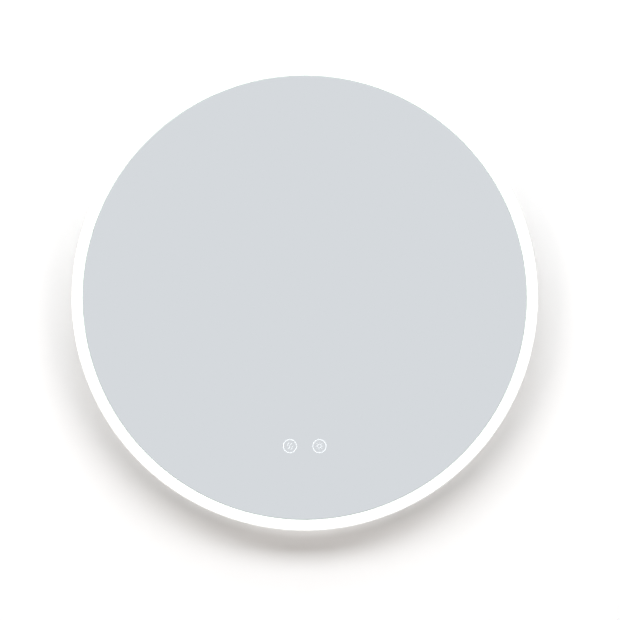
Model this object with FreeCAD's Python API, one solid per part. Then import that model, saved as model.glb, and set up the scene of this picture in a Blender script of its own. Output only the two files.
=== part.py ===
import FreeCAD
import Part

import math
import os

from FreeCAD import Vector

# Lighted round bathroom mirror, millimetres, +Z up.
#
# The user looks along +Y at the glass, and +X is to the user's right. The wall is the plane y = 0.
# The origin is the middle of the wall screws, on the wall. The mirror hangs in front of the wall on a
# two-part rail: the lower half is screwed to the wall, and the upper half is riveted to the mirror and
# hooks down behind it.
#
# A place on the mirror is given as (x, v), where v is the height above the centre of the glass, and a
# depth, which is the distance behind the front face.

# ---- Driving dimensions --------------------------------------------------------------------------

OVERALL_DIAMETER = 600.0
LIT_BAND = 14.0            # width of the lit rim round the glass, seen from the front
TOTAL_DEPTH = 44.0         # from the front face to the wall
GLASS_THICKNESS = 5.0
HANG_HEIGHT = 120.0        # the wall screws are this far above the centre of the glass
SIGN_SPACING = 38.0        # between the two touch signs
SIGN_DROP = 191.0          # the touch signs are this far below the centre of the glass

# ---- Light ring: glass, film, tape, diffuser, channel, lamps -------------------------------------

OUTER_R = OVERALL_DIAMETER / 2
GLASS_R = OUTER_R - LIT_BAND
GLASS_ARRIS = 0.8
EDGE_GAP = 0.4             # between the glass and the diffuser that surrounds it

FILM_THICKNESS = 0.3
FILM_INSET = 2.0
FILM_SIDES = 60            # the film is cut along straight lines, within 0.4 mm of a circle
FILM_WINDOW = 23.0         # opening in the film behind each touch sign
FILM_BACK = GLASS_THICKNESS + FILM_THICKNESS

TAPE_THICKNESS = 1.0
TAPE_PADS = 12
TAPE_PAD_LENGTH = 40.0
TAPE_PAD_WIDTH = 9.0

CHANNEL_INNER_R = OUTER_R - 28.0
CHANNEL_THICKNESS = 1.6
CHANNEL_DEPTH = 22.6       # over both flanges
CHANNEL_FRONT = FILM_BACK + TAPE_THICKNESS
CHANNEL_BACK = CHANNEL_FRONT + CHANNEL_DEPTH
CHANNEL_FRONT_FLANGE = 17.0
CHANNEL_GAP = 0.4          # between the rear flange and the diffuser's side wall

DIFFUSER_WALL = 3.0
DIFFUSER_SKIRT = 2.5       # wall between the glass edge and the lamps
DIFFUSER_CHAMFER = 1.2

LAMP_TAPE_WIDTH = 10.0
LAMP_TAPE_THICKNESS = 0.3
LAMP_TAPE_GAP_DEG = 4.0    # between the two ends of the tape, next to the bottom
LAMP_COUNT = 52            # about 30 for each metre of tape
LAMP_PITCH_DEG = (360.0 - LAMP_TAPE_GAP_DEG) / LAMP_COUNT
LAMP_LENGTH = 3.5
LAMP_WIDTH = 2.8
LAMP_HEIGHT = 0.8
LAMP_DEPTH = (CHANNEL_FRONT + CHANNEL_BACK) / 2
FEED_HOLE = 7.0            # where the tape's lead comes through the channel

# ---- Back pan ------------------------------------------------------------------------------------

SHEET = 1.0
PAN_R = OUTER_R - 1.0
PAN_RAISE = 3.5            # the middle of the pan stands this far behind its rim
PAN_TOP_R = 256.0
PAN_SLOPE = 6.0            # radial run of the drawn shoulder
PAN_RIM_BACK = CHANNEL_BACK + SHEET
PAN_BACK = PAN_RIM_BACK + PAN_RAISE
PAN_INSIDE = PAN_BACK - SHEET

PAN_SCREWS = 6
PAN_SCREW_CIRCLE_R = 285.0
VENTS_PER_GROUP = 6
VENT_PITCH_DEG = 11.0
VENT_MIDDLE_R = 221.0
VENT_LENGTH = 30.0
VENT_WIDTH = 5.0
VENT_CORNER = 1.5
BEAD_RAISE = 2.2           # stiffening beads, pressed towards the wall
BEAD_LENGTH = 150.0
BEAD_WIDTH = 16.0
BEAD_CORNER = 5.0
BEAD_DRAFT = 1.8           # a bead is this much narrower at its top, each side
SIDE_BEAD_X = 178.0
LOW_BEAD_V = -82.0

# ---- Hanging rail --------------------------------------------------------------------------------

RAIL_THICKNESS = 2.0
RAIL_BEND_R = 2.0
CLEAT_LENGTH = 250.0
CLEAT_FOOT = 12.0          # the cleat reaches this far below the screws
CLEAT_WEB_Z = 10.0
HOOK_HEIGHT = 10.0
HOOK_OFFSET = 7.4          # from the wall to the front of the cleat's hook
HOOK_CLEARANCE = 0.3
HOOK_FLOOR_GAP = 1.0
SEAT_Z = CLEAT_WEB_Z + RAIL_THICKNESS + HOOK_HEIGHT
HANGER_LENGTH = 280.0
HANGER_FLANGE = 22.0
WALL_SCREW_R = 2.75
WALL_SCREW_SPACING = 120.0
WALL_SLOT_SPACING = 200.0
WALL_SLOT_LENGTH = 16.0
RIVET_XS = (-115.0, -40.0, 40.0, 115.0)
RIVET_V = SEAT_Z + (RAIL_THICKNESS + HANGER_FLANGE) / 2 + HANG_HEIGHT

# ---- Service compartment -------------------------------------------------------------------------

SERVICE_V = 40.0
SERVICE_WIDTH = 110.0
SERVICE_HEIGHT = 52.0
TRAY_GAP = 0.3
TRAY_WALL = 1.6
TRAY_DEPTH = 17.0
TRAY_FLANGE = 7.0
TRAY_FLOOR = PAN_INSIDE - TRAY_DEPTH + TRAY_WALL
COVER_MARGIN = (12.0, 7.0)
COVER_CORNER = 3.0
COVER_GASKET = 1.0
GASKET_INSET = 2.0         # keeps the gasket's corners inside the cover's
COVER_THICKNESS = 1.5
COVER_BACK = PAN_BACK + COVER_GASKET + COVER_THICKNESS
COVER_SCREW_X = 59.0
CABLE_ENTRY = (30.0, 52.0)
CABLE_ENTRY_R = 4.5
GROMMET_WAIST = 14.0
GROMMET_FLANGE = 18.0
GROMMET_LIP = 2.0

TERMINAL_X = -10.0
TERMINAL_PITCH = 13.3
TERMINAL_WAYS = 3
TERMINAL_LENGTH = 20.0     # in the direction of the wires
TERMINAL_DEPTH = 13.0
CLAMP_X = 14.0
CLAMP_V = 51.0
CLAMP_REACH = 9.0          # from the middle of the bar to each screw
EARTH_STUD = (-88.0, 80.0)

# ---- Electrical parts ----------------------------------------------------------------------------

DRIVER_V = -40.0
DRIVER_LENGTH = 168.0
DRIVER_WIDTH = 44.0
DRIVER_HEIGHT = 21.0
DRIVER_WALL = 1.8
DRIVER_CORNER = 2.0
DRIVER_SCREW_X = DRIVER_LENGTH / 2 + 6.0
BOARD_THICKNESS = 1.6

MODULE_V = -118.0
MODULE_LENGTH = 60.0
MODULE_WIDTH = 34.0
MODULE_HEIGHT = 22.0
MODULE_RIM = 1.5
MODULE_CORNER = 2.0

SENSOR_WIDTH = 34.0
SENSOR_ABOVE = 27.0        # the sensor's housing above the middle of its sign
SENSOR_BELOW = 17.0
SENSOR_DEPTH = 11.0
SENSOR_WALL = 1.5
SENSOR_POST = 5.0
LENS_WIDTH = 20.0
LENS_BACK = GLASS_THICKNESS + 3.0
SENSOR_BOARD_FRONT = LENS_BACK + 0.9
SENSOR_BOARD_BACK = SENSOR_BOARD_FRONT + 1.2
SENSOR_PLUG_V = -SIGN_DROP + 20.0
SENSOR_PLUG_HEIGHT = 5.0

HEATER_WIDTH = 300.0
HEATER_HEIGHT = 200.0
HEATER_V = 30.0
HEATER_BACK = FILM_BACK + 0.5
HEATER_PATCH = (-18.0, -61.0)

# ---- Leads ---------------------------------------------------------------------------------------

MAINS_WIDTH = 6.4
MAINS_THICKNESS = 4.0
LEAD_WIDTH = 4.6
LEAD_THICKNESS = 2.4
EARTH_WIDTH = 3.0
LEAD_DEPTH = 24.0          # middle of the leads that are clipped to the pan
SENSOR_LEAD_DEPTH = 11.9
MAINS_V = 23.5
FEED_V = 31.0
EARTH_V = 53.3
LEAD_REACH = 24.0          # how far past the driver's ends its leads run
FEED_X = -128.0
CORNER_SHARE = 0.45        # share of the shorter run that a lead's bend takes up
LEAD_STEP_DEG = 15.0       # turn between one facet of a bend and the next

# ---- Wall bumpers --------------------------------------------------------------------------------

BUMPER_X = 165.0
BUMPER_V = -150.0
BUMPER_R = 8.0

TOP_DEG = 90.0
BOTTOM_DEG = 270.0
TO_WALL = Vector(0, 1, 0)
TO_USER = Vector(0, -1, 0)
UP = Vector(0, 0, 1)
RIGHT = Vector(1, 0, 0)
BEYOND = 1.0               # how far a cutting tool runs past the face it cuts
HEAD_SIDES = 10            # small screws repeat, so their heads and shanks are prisms with few sides
SHANK_SIDES = 6
HOLE_PLAY = 0.15           # between a screw's shank and its hole
OUT = "parts"


# ---- Helpers -------------------------------------------------------------------------------------

def at(x, v, depth):
    """A point of the mirror in the part's frame."""
    return Vector(x, depth - TOTAL_DEPTH, v - HANG_HEIGHT)


def prism(x0, x1, v0, v1, d0, d1):
    """A block between two corners."""
    return Part.makeBox(x1 - x0, d1 - d0, v1 - v0, at(x0, v0, d0))


def block(x, v, width, height, d0, d1):
    """A block centred at (x, v)."""
    return prism(x - width / 2, x + width / 2, v - height / 2, v + height / 2, d0, d1)


def chamfered_outline(x, v, width, height, depth, corner):
    """A rectangle with its corners cut off, parallel to the wall."""
    x0, x1 = x - width / 2, x + width / 2
    v0, v1 = v - height / 2, v + height / 2
    places = [
        (x0 + corner, v0), (x1 - corner, v0), (x1, v0 + corner), (x1, v1 - corner),
        (x1 - corner, v1), (x0 + corner, v1), (x0, v1 - corner), (x0, v0 + corner),
    ]
    points = [at(px, pv, depth) for px, pv in places]
    return Part.makePolygon(points + points[:1])


def chamfered(x, v, width, height, d0, d1, corner):
    """A block centred at (x, v) with its four corners cut off."""
    return Part.Face(chamfered_outline(x, v, width, height, d0, corner)).extrude(TO_WALL * (d1 - d0))


def pin(x, v, radius, d0, d1):
    """A cylinder along the depth."""
    return Part.makeCylinder(radius, d1 - d0, at(x, v, d0), TO_WALL)


def many_sided(x, v, radius, sides, d0, d1):
    """A prism along the depth with a regular outline."""
    places = [on_circle(radius, i * 360 / sides) for i in range(sides)]
    points = [at(x + px, v + pv, d0) for px, pv in places]
    return Part.Face(Part.makePolygon(points + points[:1])).extrude(TO_WALL * (d1 - d0))


def screw(x, v, head_r, head_height, shank_r, seat, length):
    """A screw driven from the back, its head standing on the seat's depth."""
    head = many_sided(x, v, head_r, HEAD_SIDES, seat, seat + head_height)
    return head.fuse(many_sided(x, v, shank_r, SHANK_SIDES, seat - length, seat))


def screw_hole(x, v, shank_r, d0, d1):
    """The cut that a screw's shank passes through, from one depth to another."""
    return many_sided(x, v, shank_r + HOLE_PLAY, SHANK_SIDES, d0, d1)


def slot_outline(middle, length, radius):
    """A round-ended outline along X, parallel to the wall."""
    end = RIGHT * (length / 2 - radius)
    rise = UP * radius
    edges = [
        Part.LineSegment(middle - end + rise, middle + end + rise),
        Part.Arc(middle + end + rise, middle + RIGHT * (length / 2), middle + end - rise),
        Part.LineSegment(middle + end - rise, middle - end - rise),
        Part.Arc(middle - end - rise, middle - RIGHT * (length / 2), middle - end + rise),
    ]
    return Part.Wire([edge.toShape() for edge in edges])


def turned(outline):
    """A ring about the glass axis, from (radius, depth) points."""
    points = [at(r, 0, d) for r, d in outline]
    return Part.Face(Part.makePolygon(points + points[:1])).revolve(at(0, 0, 0), TO_USER, 360)


def placed_round(shape, degrees):
    """A copy turned about the glass axis. Angle 0 is the user's right, and 90 is the top."""
    copy = shape.copy()
    copy.rotate(at(0, 0, 0), TO_USER, degrees)
    return copy


def on_circle(radius, degrees):
    """(x, v) of the point at this radius and angle."""
    angle = math.radians(degrees)
    return radius * math.cos(angle), radius * math.sin(angle)


def lead_route(name, points):
    """The middle line of a lead along straight runs, with each corner turned in equal steps on an arc."""
    route = points[:1]
    radii = []
    for before, corner, after in zip(points, points[1:], points[2:]):
        into = (corner - before).normalize()
        away = (after - corner).normalize()
        turn = into.getAngle(away)
        back = CORNER_SHARE * min((corner - before).Length, (after - corner).Length)
        radius = back / math.tan(turn / 2)
        middle = corner + (away - into).normalize() * (radius / math.cos(turn / 2))
        arm = corner - into * back - middle
        steps = max(1, round(turn / math.radians(LEAD_STEP_DEG)))
        for i in range(steps + 1):
            angle = turn * i / steps
            route.append(middle + arm * math.cos(angle) + into * (radius * math.sin(angle)))
        radii.append(radius)
    route.append(points[-1])
    length = sum((b - a).Length for a, b in zip(route, route[1:]))
    print(f"{name}: {length:.0f} mm long, bend radii {', '.join(f'{r:.0f}' for r in radii)} mm")
    return route


def lead(name, points, breadth, across):
    """A lead of rectangular section that turns in one plane. across is its size square to that plane."""
    route = lead_route(name, points)
    runs = [(b - a).normalize() for a, b in zip(route, route[1:])]
    one_side, other_side = [], []
    for place, before, after in zip(route, runs[:1] + runs, runs + runs[-1:]):
        mitre = (before + after).cross(across).normalize()
        reach = breadth / 2 / math.cos(before.getAngle(after) / 2)
        one_side.append(place - across * 0.5 + mitre * reach)
        other_side.append(place - across * 0.5 - mitre * reach)
    outline = one_side + other_side[::-1]
    return Part.Face(Part.makePolygon(outline + outline[:1])).extrude(across)


def group(solids):
    """Separate solids that share one node."""
    return Part.makeCompound(list(solids))


def keep(node, shape):
    """Writes one node's solids as parts/NODE.step."""
    if not shape.isValid() or not shape.Solids or min(solid.Volume for solid in shape.Solids) <= 0:
        raise ValueError(f"{node} is not a set of closed solids")
    Part.makeCompound(shape.Solids).exportStep(os.path.join(OUT, node + ".step"))
    volume = sum(solid.Volume for solid in shape.Solids) / 1000
    print(f"{node}: {len(shape.Solids)} solids, {volume:.2f} cm3")


# ---- Light ring ----------------------------------------------------------------------------------

def sign_xs():
    """The demister's sign on the left, and the light's on the right."""
    return -SIGN_SPACING / 2, SIGN_SPACING / 2


def mirror_glass():
    """Silvered glass disc with a ground arris round its front edge."""
    return turned([
        (0, 0),
        (GLASS_R - GLASS_ARRIS, 0),
        (GLASS_R, GLASS_ARRIS),
        (GLASS_R, GLASS_THICKNESS),
        (0, GLASS_THICKNESS),
    ])


def safety_film():
    """Film that holds the pieces if the glass breaks, open behind the touch signs."""
    film = many_sided(0, 0, GLASS_R - FILM_INSET, FILM_SIDES, GLASS_THICKNESS, FILM_BACK)
    d0 = GLASS_THICKNESS - BEYOND
    windows = [block(x, -SIGN_DROP, FILM_WINDOW, FILM_WINDOW, d0, FILM_BACK + BEYOND) for x in sign_xs()]
    return film.cut(windows)


def glass_tape_pads():
    """Double-sided foam pads between the film and the front flange of the channel."""
    middle = (CHANNEL_INNER_R + GLASS_R - FILM_INSET) / 2
    pad = block(middle, 0, TAPE_PAD_WIDTH, TAPE_PAD_LENGTH, FILM_BACK, CHANNEL_FRONT)
    return group(placed_round(pad, i * 360 / TAPE_PADS) for i in range(TAPE_PADS))


def diffuser_ring():
    """Opal moulding that lights at the front and at the side: its skirt goes round the glass edge."""
    rebate = GLASS_R + EDGE_GAP
    skirt = rebate + DIFFUSER_SKIRT
    inner = OUTER_R - DIFFUSER_WALL
    return turned([
        (rebate, 0),
        (OUTER_R - DIFFUSER_CHAMFER, 0),
        (OUTER_R, DIFFUSER_CHAMFER),
        (OUTER_R, CHANNEL_BACK),
        (inner, CHANNEL_BACK),
        (inner, DIFFUSER_WALL),
        (skirt, DIFFUSER_WALL),
        (skirt, CHANNEL_FRONT),
        (rebate, CHANNEL_FRONT),
    ])


def led_channel():
    """Rolled aluminium section: glass and diffuser sit on its front flange, and the pan on its rear one."""
    web = CHANNEL_INNER_R + CHANNEL_THICKNESS
    front = CHANNEL_INNER_R + CHANNEL_FRONT_FLANGE
    rear = OUTER_R - DIFFUSER_WALL - CHANNEL_GAP
    floor = CHANNEL_BACK - CHANNEL_THICKNESS
    ring = turned([
        (CHANNEL_INNER_R, CHANNEL_FRONT),
        (front, CHANNEL_FRONT),
        (front, CHANNEL_FRONT + CHANNEL_THICKNESS),
        (web, CHANNEL_FRONT + CHANNEL_THICKNESS),
        (web, floor),
        (rear, floor),
        (rear, CHANNEL_BACK),
        (CHANNEL_INNER_R, CHANNEL_BACK),
    ])
    holes = [screw_hole(x, v, 1.7, floor - BEYOND, CHANNEL_BACK + BEYOND) for x, v in pan_screw_places()]
    feed = block(0, -web, FEED_HOLE, 4 * CHANNEL_THICKNESS, LAMP_DEPTH - 2, LAMP_DEPTH + 2)
    return ring.cut(holes + [feed])


def led_tape():
    """Flexible circuit stuck to the channel, facing the diffuser's side wall, flat under each lamp."""
    inner = CHANNEL_INNER_R + CHANNEL_THICKNESS
    angles = [BOTTOM_DEG + (i - 0.5) * LAMP_PITCH_DEG for i in range(LAMP_COUNT + 1)]
    corner = 1 / math.cos(math.radians(LAMP_PITCH_DEG / 2))
    inside = [on_circle(inner * corner, angle) for angle in angles]
    outside = [on_circle((inner + LAMP_TAPE_THICKNESS) * corner, angle) for angle in reversed(angles)]
    points = [at(x, v, LAMP_DEPTH - LAMP_TAPE_WIDTH / 2) for x, v in inside + outside]
    return Part.Face(Part.makePolygon(points + points[:1])).extrude(TO_WALL * LAMP_TAPE_WIDTH)


def led_packages():
    """The lamps on the tape, evenly spaced, the first at the bottom."""
    inner = CHANNEL_INNER_R + CHANNEL_THICKNESS + LAMP_TAPE_THICKNESS
    d0 = LAMP_DEPTH - LAMP_WIDTH / 2
    package = prism(inner, inner + LAMP_HEIGHT, -LAMP_LENGTH / 2, LAMP_LENGTH / 2, d0, d0 + LAMP_WIDTH)
    return group(placed_round(package, BOTTOM_DEG + i * LAMP_PITCH_DEG) for i in range(LAMP_COUNT))


# ---- Back pan ------------------------------------------------------------------------------------

def pan_screw_places():
    return [on_circle(PAN_SCREW_CIRCLE_R, i * 360 / PAN_SCREWS) for i in range(PAN_SCREWS)]


def bead(x, v, width, height, depth):
    """A drafted rib that starts at this depth and rises towards the wall."""
    narrow = 2 * BEAD_DRAFT
    foot = chamfered_outline(x, v, width, height, depth, BEAD_CORNER)
    corner = BEAD_CORNER - BEAD_DRAFT / 2
    top = chamfered_outline(x, v, width - narrow, height - narrow, depth + BEAD_RAISE, corner)
    return Part.makeLoft([foot, top], True, True)


def vents():
    """Slots that point to the middle, in a group at the top and one at the bottom."""
    d0 = PAN_INSIDE - BEYOND
    slot = chamfered(VENT_MIDDLE_R, 0, VENT_LENGTH, VENT_WIDTH, d0, PAN_BACK + BEYOND, VENT_CORNER)
    middle = (VENTS_PER_GROUP - 1) / 2
    return [
        placed_round(slot, side + (i - middle) * VENT_PITCH_DEG)
        for side in (TOP_DEG, BOTTOM_DEG)
        for i in range(VENTS_PER_GROUP)
    ]


def back_pan():
    """Drawn sheet: flat rim, sloped shoulder, raised middle, stiffening beads, vents, service opening."""
    shoulder = PAN_TOP_R + PAN_SLOPE
    pan = turned([
        (0, PAN_INSIDE),
        (PAN_TOP_R - SHEET / 2, PAN_INSIDE),
        (shoulder - SHEET / 2, CHANNEL_BACK),
        (PAN_R, CHANNEL_BACK),
        (PAN_R, PAN_RIM_BACK),
        (shoulder, PAN_RIM_BACK),
        (PAN_TOP_R, PAN_BACK),
        (0, PAN_BACK),
    ])
    beads = [(s * SIDE_BEAD_X, 0, BEAD_WIDTH, BEAD_LENGTH) for s in (-1, 1)]
    beads.append((0, LOW_BEAD_V, BEAD_LENGTH, BEAD_WIDTH))
    pan = pan.fuse([bead(*place, PAN_BACK) for place in beads])
    pan = pan.cut([bead(*place, PAN_INSIDE) for place in beads])
    d0 = CHANNEL_BACK - BEYOND
    d1 = PAN_BACK + BEYOND
    cuts = vents()
    cuts.append(block(0, SERVICE_V, SERVICE_WIDTH, SERVICE_HEIGHT, d0, d1))
    cuts += [screw_hole(x, v, 1.7, d0, d1) for x, v in pan_screw_places()]
    cuts += [screw_hole(x, RIVET_V, 2.0, d0, d1) for x in RIVET_XS]
    cuts += [screw_hole(s * COVER_SCREW_X, SERVICE_V, 1.5, d0, d1) for s in (-1, 1)]
    cuts += [screw_hole(s * DRIVER_SCREW_X, DRIVER_V, 1.5, d0, d1) for s in (-1, 1)]
    cuts.append(screw_hole(*EARTH_STUD, 2.0, d0, d1))
    return pan.cut(cuts)


def pan_screws():
    """Low-headed screws that hold the pan to the channel."""
    return group(screw(x, v, 3.8, 1.8, 1.7, PAN_RIM_BACK, 7.0) for x, v in pan_screw_places())


def wall_bumpers():
    """Rubber buffers that keep the lower half of the mirror off the wall."""
    return group(pin(s * BUMPER_X, BUMPER_V, BUMPER_R, PAN_BACK, TOTAL_DEPTH) for s in (-1, 1))


# ---- Hanging rail --------------------------------------------------------------------------------

def folded_rail(outline, length, bends):
    """A straight rail along X from its (y, z) outline, with the outside of each bend rounded."""
    points = [Vector(-length / 2, y, z) for y, z in outline]
    rail = Part.Face(Part.makePolygon(points + points[:1])).extrude(RIGHT * length)
    outside = [
        edge for edge in rail.Edges
        if any(abs(edge.CenterOfMass.y - y) + abs(edge.CenterOfMass.z - z) < 0.01 for y, z in bends)
    ]
    return rail.makeFillet(RAIL_BEND_R, outside)


def wall_cleat():
    """Lower half of the rail, screwed to the wall, with its hook standing up."""
    t = RAIL_THICKNESS
    outline = [
        (0, -CLEAT_FOOT),
        (0, CLEAT_WEB_Z + t),
        (t - HOOK_OFFSET, CLEAT_WEB_Z + t),
        (t - HOOK_OFFSET, SEAT_Z),
        (-HOOK_OFFSET, SEAT_Z),
        (-HOOK_OFFSET, CLEAT_WEB_Z),
        (-t, CLEAT_WEB_Z),
        (-t, -CLEAT_FOOT),
    ]
    cleat = folded_rail(outline, CLEAT_LENGTH, [outline[1], outline[5]])
    holes = []
    for s in (-1, 1):
        hole = Vector(s * WALL_SCREW_SPACING / 2, -t - BEYOND, 0)
        holes.append(Part.makeCylinder(WALL_SCREW_R, t + 2 * BEYOND, hole, TO_WALL))
        middle = Vector(s * WALL_SLOT_SPACING / 2, -t - BEYOND, 0)
        slot = Part.Face(slot_outline(middle, WALL_SLOT_LENGTH, WALL_SCREW_R))
        holes.append(slot.extrude(TO_WALL * (t + 2 * BEYOND)))
    return cleat.cut(holes)


def hanger_rail():
    """Upper half of the rail, riveted to the pan, with its hook pointing down behind the cleat's."""
    t = RAIL_THICKNESS
    pan = PAN_BACK - TOTAL_DEPTH
    hook = t - HOOK_OFFSET + HOOK_CLEARANCE
    low = CLEAT_WEB_Z + t + HOOK_FLOOR_GAP
    outline = [
        (pan, SEAT_Z),
        (hook, SEAT_Z),
        (hook, low),
        (hook + t, low),
        (hook + t, SEAT_Z + t),
        (pan + t, SEAT_Z + t),
        (pan + t, SEAT_Z + t + HANGER_FLANGE),
        (pan, SEAT_Z + t + HANGER_FLANGE),
    ]
    holes = [screw_hole(x, RIVET_V, 2.0, PAN_BACK - BEYOND, PAN_BACK + t + BEYOND) for x in RIVET_XS]
    return folded_rail(outline, HANGER_LENGTH, [outline[0], outline[4]]).cut(holes)


def hanger_rivets():
    """Blind rivets through the hanger and the pan, with their set heads inside."""
    outside = PAN_BACK + RAIL_THICKNESS
    return group(
        screw(x, RIVET_V, 4.0, 1.3, 2.0, outside, RAIL_THICKNESS + SHEET)
        .fuse(many_sided(x, RIVET_V, 3.0, SHANK_SIDES, PAN_INSIDE - 2.5, PAN_INSIDE))
        for x in RIVET_XS
    )


# ---- Service compartment -------------------------------------------------------------------------

def terminal_tray():
    """Plastic box inside the pan that keeps the mains terminals apart from the rest, open to the back."""
    width = SERVICE_WIDTH - 2 * TRAY_GAP
    height = SERVICE_HEIGHT - 2 * TRAY_GAP
    shell = block(0, SERVICE_V, width, height, TRAY_FLOOR - TRAY_WALL, PAN_BACK)
    flange = block(0, SERVICE_V, width + 2 * TRAY_FLANGE, height, PAN_INSIDE - TRAY_WALL, PAN_INSIDE)
    low = PAN_INSIDE - 9
    bosses = [block(s * COVER_SCREW_X, SERVICE_V, 9, 9, low, PAN_INSIDE - TRAY_WALL) for s in (-1, 1)]
    pilots = [screw_hole(s * COVER_SCREW_X, SERVICE_V, 1.5, low + 1, PAN_INSIDE + BEYOND) for s in (-1, 1)]
    walls = 2 * TRAY_WALL
    inside = block(0, SERVICE_V, width - walls, height - walls, TRAY_FLOOR, PAN_BACK + BEYOND)
    d0 = LEAD_DEPTH - MAINS_THICKNESS / 2 - TRAY_GAP
    d1 = LEAD_DEPTH + MAINS_THICKNESS / 2 + TRAY_GAP
    half = MAINS_WIDTH / 2 + TRAY_GAP
    spans = [(MAINS_V - half, FEED_V + half), (EARTH_V - 2, EARTH_V + 2)]
    ports = [prism(-width / 2 - BEYOND, walls - width / 2, v0, v1, d0, d1) for v0, v1 in spans]
    return shell.fuse([flange] + bosses).cut([inside] + ports + pilots)


def terminal_vs():
    middle = (TERMINAL_WAYS - 1) / 2
    return [SERVICE_V + (i - middle) * TERMINAL_PITCH for i in range(TERMINAL_WAYS)]


def terminal_screw_places():
    """Two clamping screws in each way."""
    return [(TERMINAL_X + s * TERMINAL_LENGTH / 4, v) for v in terminal_vs() for s in (-1, 1)]


def terminal_block():
    """Screw terminal: an open cell for each pair of wires, and a well over each screw."""
    back = TRAY_FLOOR + TERMINAL_DEPTH
    body = block(TERMINAL_X, SERVICE_V, TERMINAL_LENGTH, TERMINAL_WAYS * TERMINAL_PITCH, TRAY_FLOOR, back)
    d0 = TRAY_FLOOR + 3
    cells = [block(TERMINAL_X, v, TERMINAL_LENGTH + 2, 8, d0, d0 + 6) for v in terminal_vs()]
    wells = [block(x, v, 5, 5, TRAY_FLOOR + 8, back + BEYOND) for x, v in terminal_screw_places()]
    return body.cut(cells + wells)


def terminal_clamps():
    """Brass cages that grip the wires, one in each cell."""
    d0 = TRAY_FLOOR + 3
    return group(
        block(TERMINAL_X, v, 16, 7.6, d0, d0 + 5.6).cut(block(TERMINAL_X, v, 18, 4.6, d0 + 1.3, d0 + 4.3))
        for v in terminal_vs()
    )


def terminal_screws():
    d0 = TRAY_FLOOR + 8.6
    return group(many_sided(x, v, 1.9, SHANK_SIDES, d0, d0 + 2.6) for x, v in terminal_screw_places())


def cord_clamp():
    """Two bars across the tray: the supply cable is gripped between them."""
    d0 = TRAY_FLOOR + 1
    holes = [screw_hole(CLAMP_X, CLAMP_V + s * CLAMP_REACH, 1.5, d0, d0 + 14) for s in (-1, 1)]
    base = block(CLAMP_X, CLAMP_V, 9, 25, TRAY_FLOOR, TRAY_FLOOR + 4)
    bar = block(CLAMP_X, CLAMP_V, 9, 25, TRAY_FLOOR + 10, TRAY_FLOOR + 13)
    return group([base.cut(holes), bar.cut(holes)])


def cord_clamp_screws():
    return group(
        screw(CLAMP_X, CLAMP_V + s * CLAMP_REACH, 2.8, 2.0, 1.5, TRAY_FLOOR + 13, 12.0) for s in (-1, 1)
    )


def service_gasket():
    """Foam seal between the pan and the service cover."""
    width = SERVICE_WIDTH + 2 * (COVER_MARGIN[0] - GASKET_INSET)
    height = SERVICE_HEIGHT + 2 * (COVER_MARGIN[1] - GASKET_INSET)
    d1 = PAN_BACK + COVER_GASKET
    seal = block(0, SERVICE_V, width, height, PAN_BACK, d1)
    opening = block(0, SERVICE_V, SERVICE_WIDTH, SERVICE_HEIGHT, PAN_BACK - BEYOND, d1 + BEYOND)
    holes = [screw_hole(s * COVER_SCREW_X, SERVICE_V, 1.5, PAN_BACK - BEYOND, d1 + BEYOND) for s in (-1, 1)]
    return seal.cut([opening] + holes)


def service_cover():
    """Plate over the service opening, with the hole for the cable grommet."""
    width = SERVICE_WIDTH + 2 * COVER_MARGIN[0]
    height = SERVICE_HEIGHT + 2 * COVER_MARGIN[1]
    d0 = PAN_BACK + COVER_GASKET
    plate = chamfered(0, SERVICE_V, width, height, d0, COVER_BACK, COVER_CORNER)
    d1 = COVER_BACK + BEYOND
    holes = [screw_hole(s * COVER_SCREW_X, SERVICE_V, 1.5, d0 - BEYOND, d1) for s in (-1, 1)]
    holes.append(block(*CABLE_ENTRY, GROMMET_WAIST, GROMMET_WAIST, d0 - BEYOND, d1))
    return plate.cut(holes)


def cover_screws():
    return group(screw(s * COVER_SCREW_X, SERVICE_V, 3.2, 1.6, 1.5, COVER_BACK, 10.0) for s in (-1, 1))


def cable_grommet():
    """Square rubber bush in the cover, with the round bore that the supply cable comes through."""
    inside = PAN_BACK + COVER_GASKET
    waist = block(*CABLE_ENTRY, GROMMET_WAIST, GROMMET_WAIST, inside, COVER_BACK)
    flanges = [
        chamfered(*CABLE_ENTRY, GROMMET_FLANGE, GROMMET_FLANGE, d, d + GROMMET_LIP, COVER_CORNER)
        for d in (inside - GROMMET_LIP, COVER_BACK)
    ]
    beyond = GROMMET_LIP + BEYOND
    bore = pin(*CABLE_ENTRY, CABLE_ENTRY_R, inside - beyond, COVER_BACK + beyond)
    return waist.fuse(flanges).cut(bore)


def earth_stud():
    """Stud pressed in the pan for the earth wire."""
    return screw(*EARTH_STUD, 3.8, 1.4, 2.0, PAN_BACK, 11.0)


def earth_tag():
    """Tag on the stud, with the barrel that takes the wire."""
    x, v = EARTH_STUD
    plate = prism(x - 4, x + 4, v - 14, v + 4, PAN_INSIDE - 1.0, PAN_INSIDE)
    barrel = prism(x - 2.2, x + 2.2, v - 14, v - 8, LEAD_DEPTH - 1.6, PAN_INSIDE - 1.0)
    return plate.fuse(barrel).cut(screw_hole(x, v, 2.0, PAN_INSIDE - 2, PAN_INSIDE + BEYOND))


def earth_nut():
    """Hexagon nut that holds the tag."""
    x, v = EARTH_STUD
    front = PAN_INSIDE - 4.2
    nut = many_sided(x, v, 4.0, SHANK_SIDES, front, front + 3.2)
    return nut.cut(screw_hole(x, v, 2.0, front - BEYOND, PAN_INSIDE))


# ---- Driver --------------------------------------------------------------------------------------

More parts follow.
